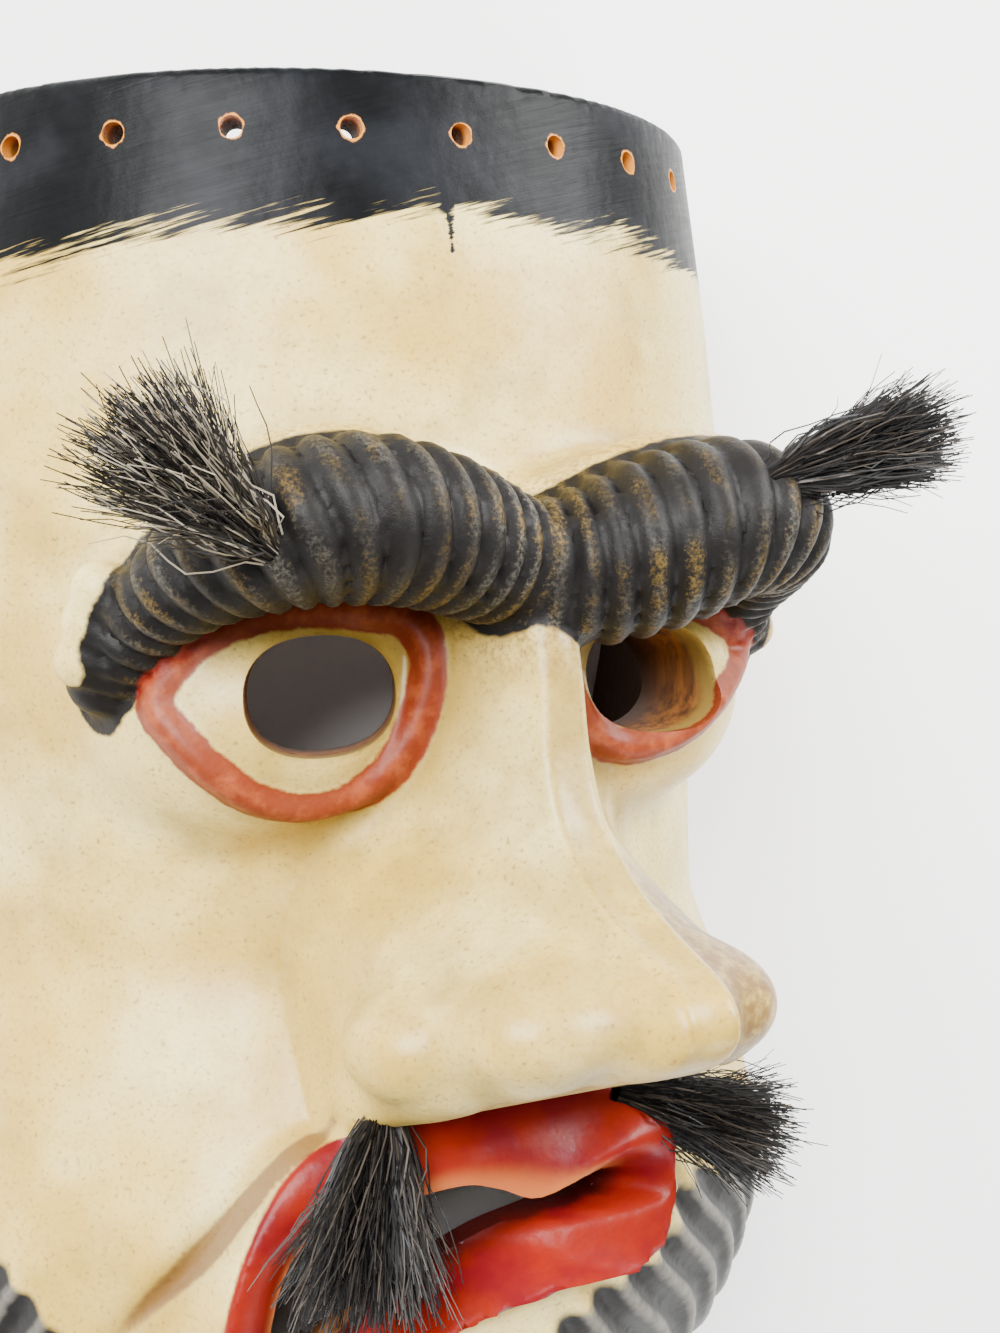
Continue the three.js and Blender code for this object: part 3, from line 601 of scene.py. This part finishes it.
class Paints:
    """One material under construction: add() places a node with its settings and links."""

    def __init__(self, name):
        self.material = bpy.data.materials.new(name)
        self.material.use_nodes = True
        self.tree = self.material.node_tree
        self.surface = self.tree.nodes["Principled BSDF"]

    def add(self, kind, inputs=None, **settings):
        node = self.tree.nodes.new(kind)
        for key, value in settings.items():
            setattr(node, key, value)
        for key, value in (inputs or {}).items():
            self.put(node.inputs[key], value)
        return node

    def put(self, socket, value):
        """Feeds a socket with another node, one of its sockets, a number or a hex colour."""
        if isinstance(value, str):
            value = linear(value)
        if isinstance(value, bpy.types.Node):
            value = value.outputs[0]
        if isinstance(value, bpy.types.NodeSocket):
            self.tree.links.new(value, socket)
        else:
            socket.default_value = value

    def math(self, operation, a, b=0.0, c=0.0):
        return self.add("ShaderNodeMath", {0: a, 1: b, 2: c}, operation=operation)

    def step(self, value, start, end):
        """0 at start, 1 at end, smooth between."""
        node = self.add("ShaderNodeMapRange", {0: value, 1: start, 2: end}, interpolation_type="SMOOTHSTEP")
        return node.outputs[0]

    def mix(self, amount, under, over):
        node = self.add("ShaderNodeMix", data_type="RGBA")
        self.put(node.inputs[0], amount)
        self.put(node.inputs[6], under)
        self.put(node.inputs[7], over)
        return node.outputs[2]

    def blend(self, amount, under, over):
        node = self.add("ShaderNodeMix", data_type="FLOAT")
        self.put(node.inputs[0], amount)
        self.put(node.inputs[2], under)
        self.put(node.inputs[3], over)
        return node.outputs[0]

    def noise(self, scale_mm, detail=3.0, roughness=0.55, stretch=(1, 1, 1), turn=(0, 0, 0)):
        """Noise whose features are scale_mm wide, stretched along chosen axes."""
        place = self.add("ShaderNodeTexCoord").outputs["Object"]
        grain = self.add("ShaderNodeMapping", {"Vector": place, "Scale": [1 / k for k in stretch],
                                               "Rotation": turn}, vector_type="TEXTURE")
        node = self.add("ShaderNodeTexNoise", {"Vector": grain, "Scale": 1 / (scale_mm * MM),
                                               "Detail": detail, "Roughness": roughness})
        return node.outputs[0]

    def attribute(self, name):
        return self.add("ShaderNodeAttribute", attribute_name=name).outputs["Fac"]


def painted_limewood(colours):
    """Oil paint on carved limewood, brown glaze rubbed into the hollows, waxed to a satin shine."""
    m = Paints("painted_limewood")
    place = m.add("ShaderNodeSeparateXYZ", {0: m.add("ShaderNodeTexCoord").outputs["Object"]})
    level = m.math("MULTIPLY", place.outputs[1], 1 / MM)
    broad = m.noise(42, 3)
    soft = m.noise(18, 4)
    fine = m.noise(2.6, 4, 0.6)
    speck = m.noise(0.8, 2, 0.5)
    hollowed = m.attribute("hollowed")
    bare = m.attribute("bare")

    def wandering(value, noise, width):
        """A value that a noise moves up and down by width."""
        return m.math("ADD", value, m.math("MULTIPLY_ADD", noise, 2 * width, -width))

    def ragged(name, width):
        """A stored distance whose edge wanders by width."""
        return wandering(m.attribute(name), fine, width)

    def glazed(colour, amount, strength, glaze):
        return m.mix(m.math("MULTIPLY", amount, strength), colour, glaze)

    # Flesh: cream oil paint, warmer where the brown glaze stays, rubbed thin on the high places
    flesh = m.mix(m.step(broad, 0.36, 0.62), colours.flesh, colours.flesh_warm)
    flesh = glazed(flesh, m.step(soft, 0.5, 0.74), 0.35, colours.glaze)
    flesh = glazed(flesh, m.step(fine, 0.52, 0.75), 0.2, colours.glaze)
    flesh = glazed(flesh, m.step(wandering(hollowed, soft, 0.3), 0.02, 0.6), 0.55, colours.glaze)
    flesh = glazed(flesh, m.step(wandering(hollowed, fine, 0.25), 0.3, 0.95), 0.6, colours.glaze_dark)
    # a yellow-brown glaze over the middle of the face, round the nose and the eyes, in noisy patches
    nose_eye_glaze = m.math("MULTIPLY", m.attribute("nose_eye_glaze"), m.step(m.noise(11, 4), 0.3, 0.6))
    flesh = glazed(flesh, nose_eye_glaze, 0.4, colours.glaze)
    # dark glaze close round the brow rolls: partly airbrushed paint, partly painted shade where the brows
    # shade the face
    brow_glaze_and_shade = m.math("MULTIPLY", m.attribute("brow_glaze_and_shade"), m.step(m.noise(1.3, 4, 0.7), 0.4, 0.66))
    flesh = glazed(flesh, brow_glaze_and_shade, 0.7, colours.glaze_dark)
    flesh = glazed(flesh, m.step(ragged("lid_mm", 1.5), 8, 4), 0.25, colours.glaze)
    flesh = glazed(flesh, m.step(speck, 0.42, 0.72), 0.24, colours.glaze)
    flesh = glazed(flesh, m.step(speck, 0.64, 0.72), 0.4, colours.glaze_dark)
    # painted shade on the left flank of the nose, between its ridge and the lobe beside the tip
    nose_tip_shade = m.math("MULTIPLY", m.attribute("nose_tip_shade"), m.step(fine, 0.2, 0.6))
    flesh = glazed(flesh, nose_tip_shade, 0.8, colours.glaze_dark)
    flesh = glazed(flesh, m.step(ragged("fold_mm", 1.2), 5, -0.5), 0.45, colours.glaze)
    flesh = glazed(flesh, m.step(ragged("fold_mm", 0.4), 0.9, 0.0), 0.8, colours.glaze_dark)
    flesh = glazed(flesh, m.step(ragged("nick_mm", 0.4), 0.4, -0.2), 0.8, colours.wood)

    # Hair band: black, its lower edge dragged out by a dry brush
    brush = m.noise(0.8, 3, 0.65, (0.05, 1, 0.05), (0, 0, BRUSH_SLANT))
    sweep = m.noise(9, 2, 0.5, (0.3, 1, 0.3), (0, 0, BRUSH_SLANT))
    edge = m.math("SUBTRACT", level, m.attribute("hairline_mm"))
    edge = wandering(wandering(edge, brush, 7.5), sweep, 4)
    band = m.step(edge, -1.2, 1.6)
    # grey-black patches on the band: partly brushed wear, partly painted sheen
    black = m.mix(m.step(soft, 0.42, 0.7), colours.band, colours.band_wear_and_sheen)
    colour = m.mix(band, flesh, black)
    colour = m.mix(m.step(ragged("drill_mm", 0.9), 0.5, 0.2), colour, colours.splinter)

    # Beard: grey-black, thinner towards the mouth, paler on the locks' crests
    crest = m.attribute("lock_crest")
    spray = wandering(m.attribute("beard"), fine, 0.15)
    spray = m.step(m.math("ADD", spray, m.math("MULTIPLY", crest, -0.35)), 0.05, 0.5)
    grey = m.mix(m.step(wandering(crest, fine, 0.25), 0.55, 1.15), colours.beard, colours.beard_crest)
    colour = m.mix(spray, colour, grey)

    # Brows: black with silver and gold rubbed over the ribs
    hair = m.step(ragged("brow_mm", 0.8), 2.6, 1.8)
    dust = m.math("MULTIPLY_ADD", m.noise(0.7, 4, 0.75), 1.6, -0.8)
    rubbed = m.step(m.math("ADD", m.attribute("rib_crest"), dust), 0.75, 1.35)
    rubbed = m.math("MULTIPLY", rubbed, m.step(soft, 0.36, 0.66))
    metal = m.mix(m.step(m.noise(9, 2), 0.42, 0.6), colours.silver, colours.gold)
    colour = m.mix(hair, colour, m.mix(m.math("MULTIPLY", rubbed, 0.55), colours.brow, metal))

    # Lids: orange-red glaze, worn pale along the ring
    lid = m.step(ragged("lid_mm", 0.6), 4.0, 3.3)
    worn = m.step(m.noise(3.5, 4, 0.6), 0.42, 0.68)
    lid_colour = m.mix(worn, colours.lid, colours.lid_pale)
    lid_colour = m.mix(m.step(ragged("lid_mm", 0.5), 2.4, 3.6), lid_colour, colours.lid)
    colour = m.mix(m.math("MULTIPLY", lid, 0.95), colour, lid_colour)

    # Lips: red with deeper brush marks, painted shade on the inner lower lip and in the mouth, worn to orange
    # cream along the upper lip
    lip = m.step(ragged("lip_mm", 0.15), 0.5, 0.15)
    across = m.attribute("lip_across")
    upper = m.attribute("upper_lip")
    lip_colour = m.mix(m.step(m.noise(13, 3), 0.38, 0.64), colours.lip, colours.lip_deep)
    marks = m.step(m.noise(1.6, 5, 0.75, (0.4, 1, 1)), 0.45, 0.75)
    lip_colour = glazed(lip_colour, marks, 0.3, colours.lip_deep)
    inner = m.step(wandering(across, soft, 0.15), 0.3, 0.0)
    lip_colour = glazed(lip_colour, m.math("MULTIPLY", inner, upper), 0.4, colours.lip_worn)
    # painted shade: the inner edge of the lower lip under the upper one, and the walls of the mouth
    shade = m.math("MULTIPLY", inner, m.math("SUBTRACT", 1.0, upper))
    shade = m.math("MAXIMUM", shade, m.step(across, -0.02, -0.2))
    lip_colour = glazed(lip_colour, shade, 0.85, colours.lip_shade)
    colour = m.mix(lip, colour, lip_colour)

    # Bare wood: inside and in the drilled holes, darkened with wear; inside the head painted darker still as
    # shade
    grain = m.noise(1.8, 4, 0.6, (1, 0.08, 1))
    wood = m.mix(m.step(grain, 0.35, 0.68), colours.wood, colours.wood_dark)
    wood = m.mix(m.step(bare, 0.9, 2.0), wood, colours.wood_inside_shade)
    uncovered = m.step(bare, 0.3, 0.7)
    colour = m.mix(uncovered, colour, wood)
    m.put(m.surface.inputs["Base Color"], colour)

    # Shine: waxed flesh and lips, duller band, brows, beard, lids and bare wood
    dull = m.blend(band, m.math("MULTIPLY_ADD", fine, 0.2, 0.27), m.math("MULTIPLY_ADD", brush, 0.2, 0.3))
    dull = m.blend(hair, dull, m.math("MULTIPLY_ADD", fine, 0.3, 0.36))
    dull = m.blend(lip, dull, m.math("MULTIPLY_ADD", speck, 0.25, 0.22))
    dull = m.blend(m.math("MAXIMUM", spray, lid), dull, 0.45)
    dull = m.blend(uncovered, dull, 0.65)
    m.put(m.surface.inputs["Roughness"], dull)
    m.put(m.surface.inputs["Metallic"], m.math("MULTIPLY", m.math("MULTIPLY", rubbed, hair), 0.4))
    gloss = m.blend(band, 0.36, 0.07)
    gloss = m.blend(hair, gloss, 0.15)
    gloss = m.blend(m.math("MAXIMUM", spray, lid), gloss, 0.18)
    m.put(m.surface.inputs["Specular IOR Level"], m.blend(lip, gloss, 0.14))
    # Small relief: tool marks, brush marks, wood grain and the grain of the rubbed metal
    tool = m.noise(7, 2, 0.5, (1, 0.5, 1))
    height = m.math("ADD", m.math("MULTIPLY", tool, 0.4), m.math("MULTIPLY", fine, 0.14))
    for relief, where, amount in ((grain, uncovered, 0.3), (brush, band, 0.12), (dust, hair, 0.1)):
        height = m.math("ADD", height, m.math("MULTIPLY", m.math("MULTIPLY", relief, where), amount))
    bump = m.add("ShaderNodeBump", {"Height": height, "Strength": 0.6, "Distance": 1.0 * MM})
    m.put(m.surface.inputs["Normal"], bump)
    return m.material


def horsehair(name, dark, pale, share):
    """Coarse horsehair bristle: black-brown with a share of pale hairs, a slight natural gloss."""
    m = Paints(name)
    tone = m.step(m.attribute("tone"), 1 - share, 1 - share * 0.6)
    m.put(m.surface.inputs["Base Color"], m.mix(tone, dark, pale))
    m.put(m.surface.inputs["Roughness"], 0.5)
    m.put(m.surface.inputs["Specular IOR Level"], 0.25)
    return m.material


def studio_floor():
    """Matt white studio floor."""
    m = Paints("studio_floor")
    m.put(m.surface.inputs["Base Color"], "#f6f6f4")
    m.put(m.surface.inputs["Roughness"], 0.9)
    return m.material


# Settings that a user would change
class CarvingSizes(bpy.types.PropertyGroup):
    wall: bpy.props.FloatProperty(name="Wall", description="Thickness of the carved wall",
                                  default=9 * MM, unit="LENGTH")
    kept: bpy.props.FloatProperty(name="Faces kept", description="Share of the faces kept after carving",
                                  default=64.0, subtype="PERCENTAGE")
    voxel: bpy.props.FloatProperty(name="Cut size", description="Fineness of the carved surface",
                                   default=1.1 * MM, unit="LENGTH")
    ribs: bpy.props.IntProperty(name="Ribs", description="Carved ribs along one brow", default=21)
    rib_depth: bpy.props.FloatProperty(name="Rib depth", description="Depth of the grooves in a brow",
                                       default=2.2 * MM, unit="LENGTH")
    lock_pitch: bpy.props.FloatProperty(name="Lock width", description="Width of one lock of the beard",
                                        default=6.8 * MM, unit="LENGTH")
    lock_depth: bpy.props.FloatProperty(name="Lock depth", description="Depth between the locks",
                                        default=1.9 * MM, unit="LENGTH")


class MaskColours(bpy.types.PropertyGroup):
    flesh: bpy.props.StringProperty(name="Flesh", description="Cream oil paint", default="#dac57c")
    flesh_warm: bpy.props.StringProperty(name="Warm flesh", description="Yellowed paint", default="#c2a046")
    glaze: bpy.props.StringProperty(name="Glaze", description="Thin brown glaze", default="#8a7028")
    glaze_dark: bpy.props.StringProperty(name="Dark glaze", description="Glaze in creases", default="#5f3c1c")
    band: bpy.props.StringProperty(name="Hair band", description="Black band", default="#08090a")
    # grey-black of the band's patches, partly worn paint and partly painted sheen
    band_wear_and_sheen: bpy.props.StringProperty(name="Worn band", description="Brushed grey black", default="#191a1d")
    splinter: bpy.props.StringProperty(name="Splinter", description="Fresh wood at a hole", default="#b9772c")
    brow: bpy.props.StringProperty(name="Brow", description="Brow black", default="#110f0e")
    silver: bpy.props.StringProperty(name="Silver", description="Rubbed silver", default="#8a8578")
    gold: bpy.props.StringProperty(name="Gold", description="Rubbed gold", default="#8a7038")
    beard: bpy.props.StringProperty(name="Beard", description="Beard grey-black", default="#1c1b1a")
    beard_crest: bpy.props.StringProperty(name="Beard crest", description="Lock crests", default="#6d6960")
    lid: bpy.props.StringProperty(name="Lid", description="Red of the lid rings", default="#6c1b0b")
    lid_pale: bpy.props.StringProperty(name="Worn lid", description="Worn lid red", default="#88391e")
    lip: bpy.props.StringProperty(name="Lip", description="Red of the lips", default="#7a180a")
    lip_deep: bpy.props.StringProperty(name="Deep lip", description="Deeper lip red", default="#660d14")
    lip_worn: bpy.props.StringProperty(name="Worn lip", description="Orange cream edge", default="#c07a3e")
    # dark red used as painted shade on the inner lower lip and in the mouth
    lip_shade: bpy.props.StringProperty(name="Inner lip", description="Red in the mouth", default="#340c0a")
    wood: bpy.props.StringProperty(name="Wood", description="Bare wood", default="#8a5522")
    # painted shade: the darker wood colour of the inside of the head
    wood_inside_shade: bpy.props.StringProperty(name="Inside", description="Smoke-dark inside", default="#3a2313")
    wood_dark: bpy.props.StringProperty(name="Worn wood", description="Darkened wood", default="#4a2b12")


class BristleSizes(bpy.types.PropertyGroup):
    bristles: bpy.props.IntProperty(name="Bristles", description="Bristles in one tuft", default=900)
    thickness: bpy.props.FloatProperty(name="Thickness", description="Thickness of one bristle at its root",
                                       default=0.44 * MM, unit="LENGTH")
    strays: bpy.props.FloatProperty(name="Strays", description="Share of bristles that stick out",
                                    default=6.0, subtype="PERCENTAGE")


class MASK_OT_carve_head(bpy.types.Operator):
    """Carves the head with its brows, eyes, nose, lips and beard, hollows it, drills it and paints it"""
    bl_idname = "mask.carve_head"
    bl_label = "Carve the head"

    def execute(self, context):
        props = context.scene.mask_carving
        sizes = {key: getattr(props, key) / (1 if key == "ribs" else MM)
                 for key in ("ribs", "rib_depth", "lock_pitch", "lock_depth")}
        wall = props.wall / MM
        voxel = props.voxel / MM

        def outside(p):
            """The carved outside, cut flat at the back plane and the top."""
            f = face(p, sizes)
            return np.maximum(np.maximum(f, -p[:, 2]), p[:, 1] - TOP_Y)

        def inside(p):
            """The hollow, carried on past the back plane and the top, so that both are open."""
            held = np.stack([p[:, 0], np.minimum(p[:, 1], TOP_Y), np.maximum(p[:, 2], 0)], 1)
            past = np.maximum(-HOLLOW_RUN_ON - p[:, 2], p[:, 1] - TOP_Y - HOLLOW_RUN_ON)
            return np.maximum(hollow(held, wall), past)

        shell = mesh_piece("carved_head", *carve(outside, LOW - MARGIN, HIGH + MARGIN, voxel))
        outwards(shell)
        core = mesh_piece("hollow", *carve(inside, LOW - HOLLOW_MARGIN, HIGH + HOLLOW_MARGIN, HOLLOW_VOXEL))
        outwards(core)
        cut_with(shell, core)
        openings = [prism("mouth_cut", [edge[:2] for edge, _ in LIPS], MOUTH_CUT_FROM, MOUTH_CUT_TO)]
        for side in (-1, 1):
            oval = superellipse(*EYE_HOLE_SIZE, EYE_HOLE_POWER)
            eye = prism("eye_cut", oval, -EYE_CUT_REACH, EYE_CUT_REACH)
            turn = Matrix.Rotation(side * EYE_TURN, 4, "Y")
            place = Vector((side * EYE_HOLE_AT[0], *EYE_HOLE_AT[1:]))
            eye.data.transform(Matrix.Translation(place * MM) @ turn)
            openings.append(eye)
        for i in range(RIM_HOLE_COUNT):
            x, z = rim_hole_way(i)
            start, end = ((reach * x, RIM_HOLE_LEVEL, reach * z) for reach in (RIM_DRILL_FROM, RIM_DRILL_TO))
            openings.append(drill("rim_cut", start, end, RIM_HOLE_RADIUS))
        for root, end, *_ in TUFTS.values():
            axis = (Vector(end) - Vector(root)).normalized()
            openings.append(drill("socket_cut", Vector(root) - SOCKET_DEPTH * axis,
                                  Vector(root) + SOCKET_DRILL_OUT * axis, SOCKET_RADIUS))
        cut_with(shell, joined(openings))
        thinned(shell, props.kept / 100)

        self.mark(shell, sizes, wall)
        select_only(shell)
        bpy.ops.object.shade_smooth_by_angle(angle=SMOOTH_ANGLE)
        shell.data.materials.clear()
        shell.data.materials.append(painted_limewood(context.scene.mask_colours))
        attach(shell, "root")
        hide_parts("mask_shell")
        return {"FINISHED"}

    def off_axis(self, points, i):
        """Distance from the edge of one sewing hole."""
        x, z = rim_hole_way(i)
        beside = points[:, 0] * z - points[:, 2] * x
        ahead = points[:, 0] * x + points[:, 2] * z
        return np.where(ahead > 0, np.hypot(beside, points[:, 1] - RIM_HOLE_LEVEL) - RIM_HOLE_RADIUS, 50)

    def mark(self, shell, sizes, wall):
        """Keeps at each point what the paints follow: distances from edges, heights and shares."""
        points = vectors(shell, "co") / MM
        normals = vectors(shell, "normal")
        depth = face(points, sizes)
        felt = face(points + HOLLOW_PROBE * normals, sizes)
        store(shell, "hollowed", (HOLLOW_PROBE - felt) / HOLLOW_PROBE)
        x, y, z = points.T
        _, _, beyond, across = lips(points)
        plain, _, _, crest = brows(points, sizes["ribs"], sizes["rib_depth"])
        # bare wood is marked 1 in the holes and 2 on the inside of the head, where it takes a painted shade
        open_wood = smooth(-1.0, -2.2, depth) * (1 + smooth(2.5, 0.5, np.abs(hollow(points, wall))))
        covered = (plain < 3.5) | ((beyond < 1) & (z > 74))
        store(shell, "bare", np.where(covered, 0, open_wood))
        store(shell, "hairline_mm", np.interp(x, HAIRLINE[:, 0], HAIRLINE[:, 1]))
        store(shell, "brow_mm", plain)
        store(shell, "rib_crest", crest)
        # glaze round the brows, partly painted shade; yellow-brown glaze round the nose and the eyes; painted
        # shade beside the nose's tip
        store(shell, "brow_glaze_and_shade", smooth(12, 1.5, plain) * smooth(-56, -38, x))
        store(shell, "nose_eye_glaze", smooth(56, 14, np.abs(x + 4)) * smooth(-50, -8, y) * smooth(66, 44, y))
        tip = smooth(5, 9, x) * smooth(-32, -20, y) * smooth(9, -5, y) * smooth(96, 104, z)
        store(shell, "nose_tip_shade", tip * smooth(30, 22, np.hypot(x - 6, y + 8)))
        store(shell, "lid_mm", lids(points))
        store(shell, "lip_mm", beyond)
        store(shell, "lip_across", across)
        corners = -70 + 0.3 * (x + 45)
        store(shell, "upper_lip", smooth(-1, 1, y - corners))
        store(shell, "drill_mm", np.min([self.off_axis(points, i) for i in range(RIM_HOLE_COUNT)], axis=0))
        store(shell, "nick_mm", np.min([np.linalg.norm((points - at) / (1, 0.6, 1), axis=1) - size
                                        for *at, size in NICKS], axis=0))
        store(shell, "fold_mm", roll(points, FOLD_LINE, FOLD_RADII)[0])
        store(shell, "beard", beard_zone(points) * smooth(1, 21, beyond))
        store(shell, "lock_crest", locks(points, sizes["lock_pitch"]))


class MASK_OT_set_tufts(bpy.types.Operator):
    """Sets the tufts of horsehair into their sockets, bristle by bristle"""
    bl_idname = "mask.set_tufts"
    bl_label = "Set the hair tufts"

    def execute(self, context):
        sizes = context.scene.mask_bristles
        looks = {kind: horsehair(f"horsehair_{kind}", *look) for kind, look in HAIRS.items()}
        for number, (node, (*fan, kind)) in enumerate(TUFTS.items()):
            piece = self.tuft(node, fan, sizes, number)
            piece.data.materials.append(looks[kind])
            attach(piece, "root")
            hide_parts(node)
        return {"FINISHED"}

    def tuft(self, node, fan, sizes, seed):
        """One tuft: bristles of three sides each, from a narrow foot out to the edge of a fan."""
        root, end, wide, thick = fan
        rng = np.random.default_rng(HAIR_SEED + seed)
        axis = np.array(end, float) - root
        length = np.linalg.norm(axis)
        axis /= length
        across = np.cross(axis, (0, 0, 1.0))
        across /= np.linalg.norm(across)
        up = np.cross(across, axis)
        radius = sizes.thickness / MM / 2
        vertices, faces, tones = [], [], []
        steps = BRISTLE_STEPS
        for _ in range(sizes.bristles):
            turn = rng.uniform(0, 2 * np.pi)
            spread = math.sqrt(rng.uniform()) * (1.25 if rng.uniform() * 100 < sizes.strays else 1.0)
            aim = spread * (math.cos(turn) * wide * across + math.sin(turn) * thick * up)
            foot = np.array(root) - TUFT_DEPTH * axis
            foot = foot + spread * TUFT_FOOT * (math.cos(turn) * across + math.sin(turn) * up)
            reach = length * (1.05 - 0.14 * spread ** 2) * (1.04 - 0.34 * rng.uniform() ** 2)
            bend = rng.normal(0, 1.9, 3)
            curl = rng.normal(0, 0.8, 3)
            phase, turns = rng.uniform(0, 6.3), rng.uniform(5, 11)
            line = []
            for k in range(steps + 1):
                t = k / steps
                wave = curl * (math.sin(phase + turns * t) - math.sin(phase)) * min(1, 3 * t)
                straight = foot + axis * (t * (reach + TUFT_DEPTH))
                line.append(straight + aim * (t ** 1.15) + bend * t ** 3 + wave)
            base = len(vertices)
            tone = rng.uniform()
            for k, point in enumerate(line):
                r = radius * (1 - 0.55 * k / steps)
                for s in range(3):
                    a = turn + 2 * np.pi * s / 3
                    vertices.append(point + r * (math.cos(a) * across + math.sin(a) * up))
                    tones.append(tone)
            for k in range(steps):
                for s in range(3):
                    a, b = base + 3 * k + s, base + 3 * k + (s + 1) % 3
                    faces.append((a, b, b + 3, a + 3))
            faces.append((base + 2, base + 1, base))
            faces.append(tuple(base + 3 * steps + s for s in range(3)))
        piece = mesh_piece(node.replace("_tuft", "_bristles"), vertices, faces)
        store(piece, "tone", tones)
        outwards(piece)
        return piece


class MASK_OT_lay_stage(bpy.types.Operator):
    """Lays the white floor, the lights and the camera"""
    bl_idname = "mask.lay_stage"
    bl_label = "Lay the stage"

    def execute(self, context):
        bpy.ops.object.select_all(action="DESELECT")
        bpy.ops.mesh.primitive_plane_add(size=FLOOR_SIZE, location=(0, 0, FLOOR_LEVEL))
        floor = context.object
        floor.name = "studio_floor"
        floor.data.materials.append(studio_floor())
        for name, (place, size, power) in LIGHTS.items():
            self.light(name, place, size, power)
        world = bpy.data.worlds.new("studio")
        context.scene.world = world
        world.use_nodes = True
        sky = world.node_tree.nodes["Background"]
        sky.inputs[0].default_value = (1, 1, 1, 1)
        sky.inputs[1].default_value = SKY_STRENGTH
        self.camera(context)
        return {"FINISHED"}

    def light(self, name, place, size, power):
        bpy.ops.object.light_add(type="AREA", location=place)
        lamp = bpy.context.object
        lamp.name = name
        lamp.data.shape = "DISK"
        lamp.data.size = size
        lamp.data.energy = power
        aim = LIGHT_AIM - Vector(place)
        lamp.rotation_euler = aim.to_track_quat("-Z", "Y").to_euler()

    def camera(self, context):
        place = Vector((-CAMERA_DISTANCE * math.sin(CAMERA_SWING), CAMERA_LEVEL,
                        CAMERA_DISTANCE * math.cos(CAMERA_SWING)))
        a = CAMERA_SWING - CAMERA_YAW
        ahead = Vector((math.sin(a) * math.cos(CAMERA_PITCH), -math.sin(CAMERA_PITCH),
                        -math.cos(a) * math.cos(CAMERA_PITCH)))
        right = Vector((math.cos(a), 0, math.sin(a)))
        up = right.cross(ahead)
        c, s = math.cos(CAMERA_ROLL), math.sin(CAMERA_ROLL)
        right, up = c * right + s * up, -s * right + c * up
        camera = bpy.data.objects.new("camera", bpy.data.cameras.new("camera"))
        context.collection.objects.link(camera)
        turn = Matrix((right, up, -ahead)).transposed()
        camera.matrix_world = Matrix.Translation(place * MM) @ turn.to_4x4()
        camera.data.lens = LENS_MM
        camera.data.sensor_width = 36
        camera.data.clip_start = 0.01
        context.scene.camera = camera


class MASK_PT_panel(bpy.types.Panel):
    bl_label = "Carnival mask"
    bl_idname = "MASK_PT_panel"
    bl_space_type = "VIEW_3D"
    bl_region_type = "UI"
    bl_category = "Mask"

    def draw(self, context):
        column = self.layout.column()
        for group in (context.scene.mask_carving, context.scene.mask_bristles, context.scene.mask_colours):
            for key in group.bl_rna.properties.keys():
                if key not in ("rna_type", "name"):
                    column.prop(group, key)
        for operator in (MASK_OT_carve_head, MASK_OT_set_tufts, MASK_OT_lay_stage):
            column.operator(operator.bl_idname)


CLASSES = (CarvingSizes, MaskColours, BristleSizes, MASK_OT_carve_head, MASK_OT_set_tufts, MASK_OT_lay_stage,
           MASK_PT_panel)


def register():
    for cls in CLASSES:
        bpy.utils.register_class(cls)
    bpy.types.Scene.mask_carving = bpy.props.PointerProperty(type=CarvingSizes)
    bpy.types.Scene.mask_colours = bpy.props.PointerProperty(type=MaskColours)
    bpy.types.Scene.mask_bristles = bpy.props.PointerProperty(type=BristleSizes)


def unregister():
    del bpy.types.Scene.mask_bristles
    del bpy.types.Scene.mask_colours
    del bpy.types.Scene.mask_carving
    for cls in reversed(CLASSES):
        bpy.utils.unregister_class(cls)


def main():
    register()
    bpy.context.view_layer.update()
    bpy.ops.mask.carve_head()
    bpy.ops.mask.set_tufts()
    bpy.ops.mask.lay_stage()


if __name__ == "__main__":
    main()
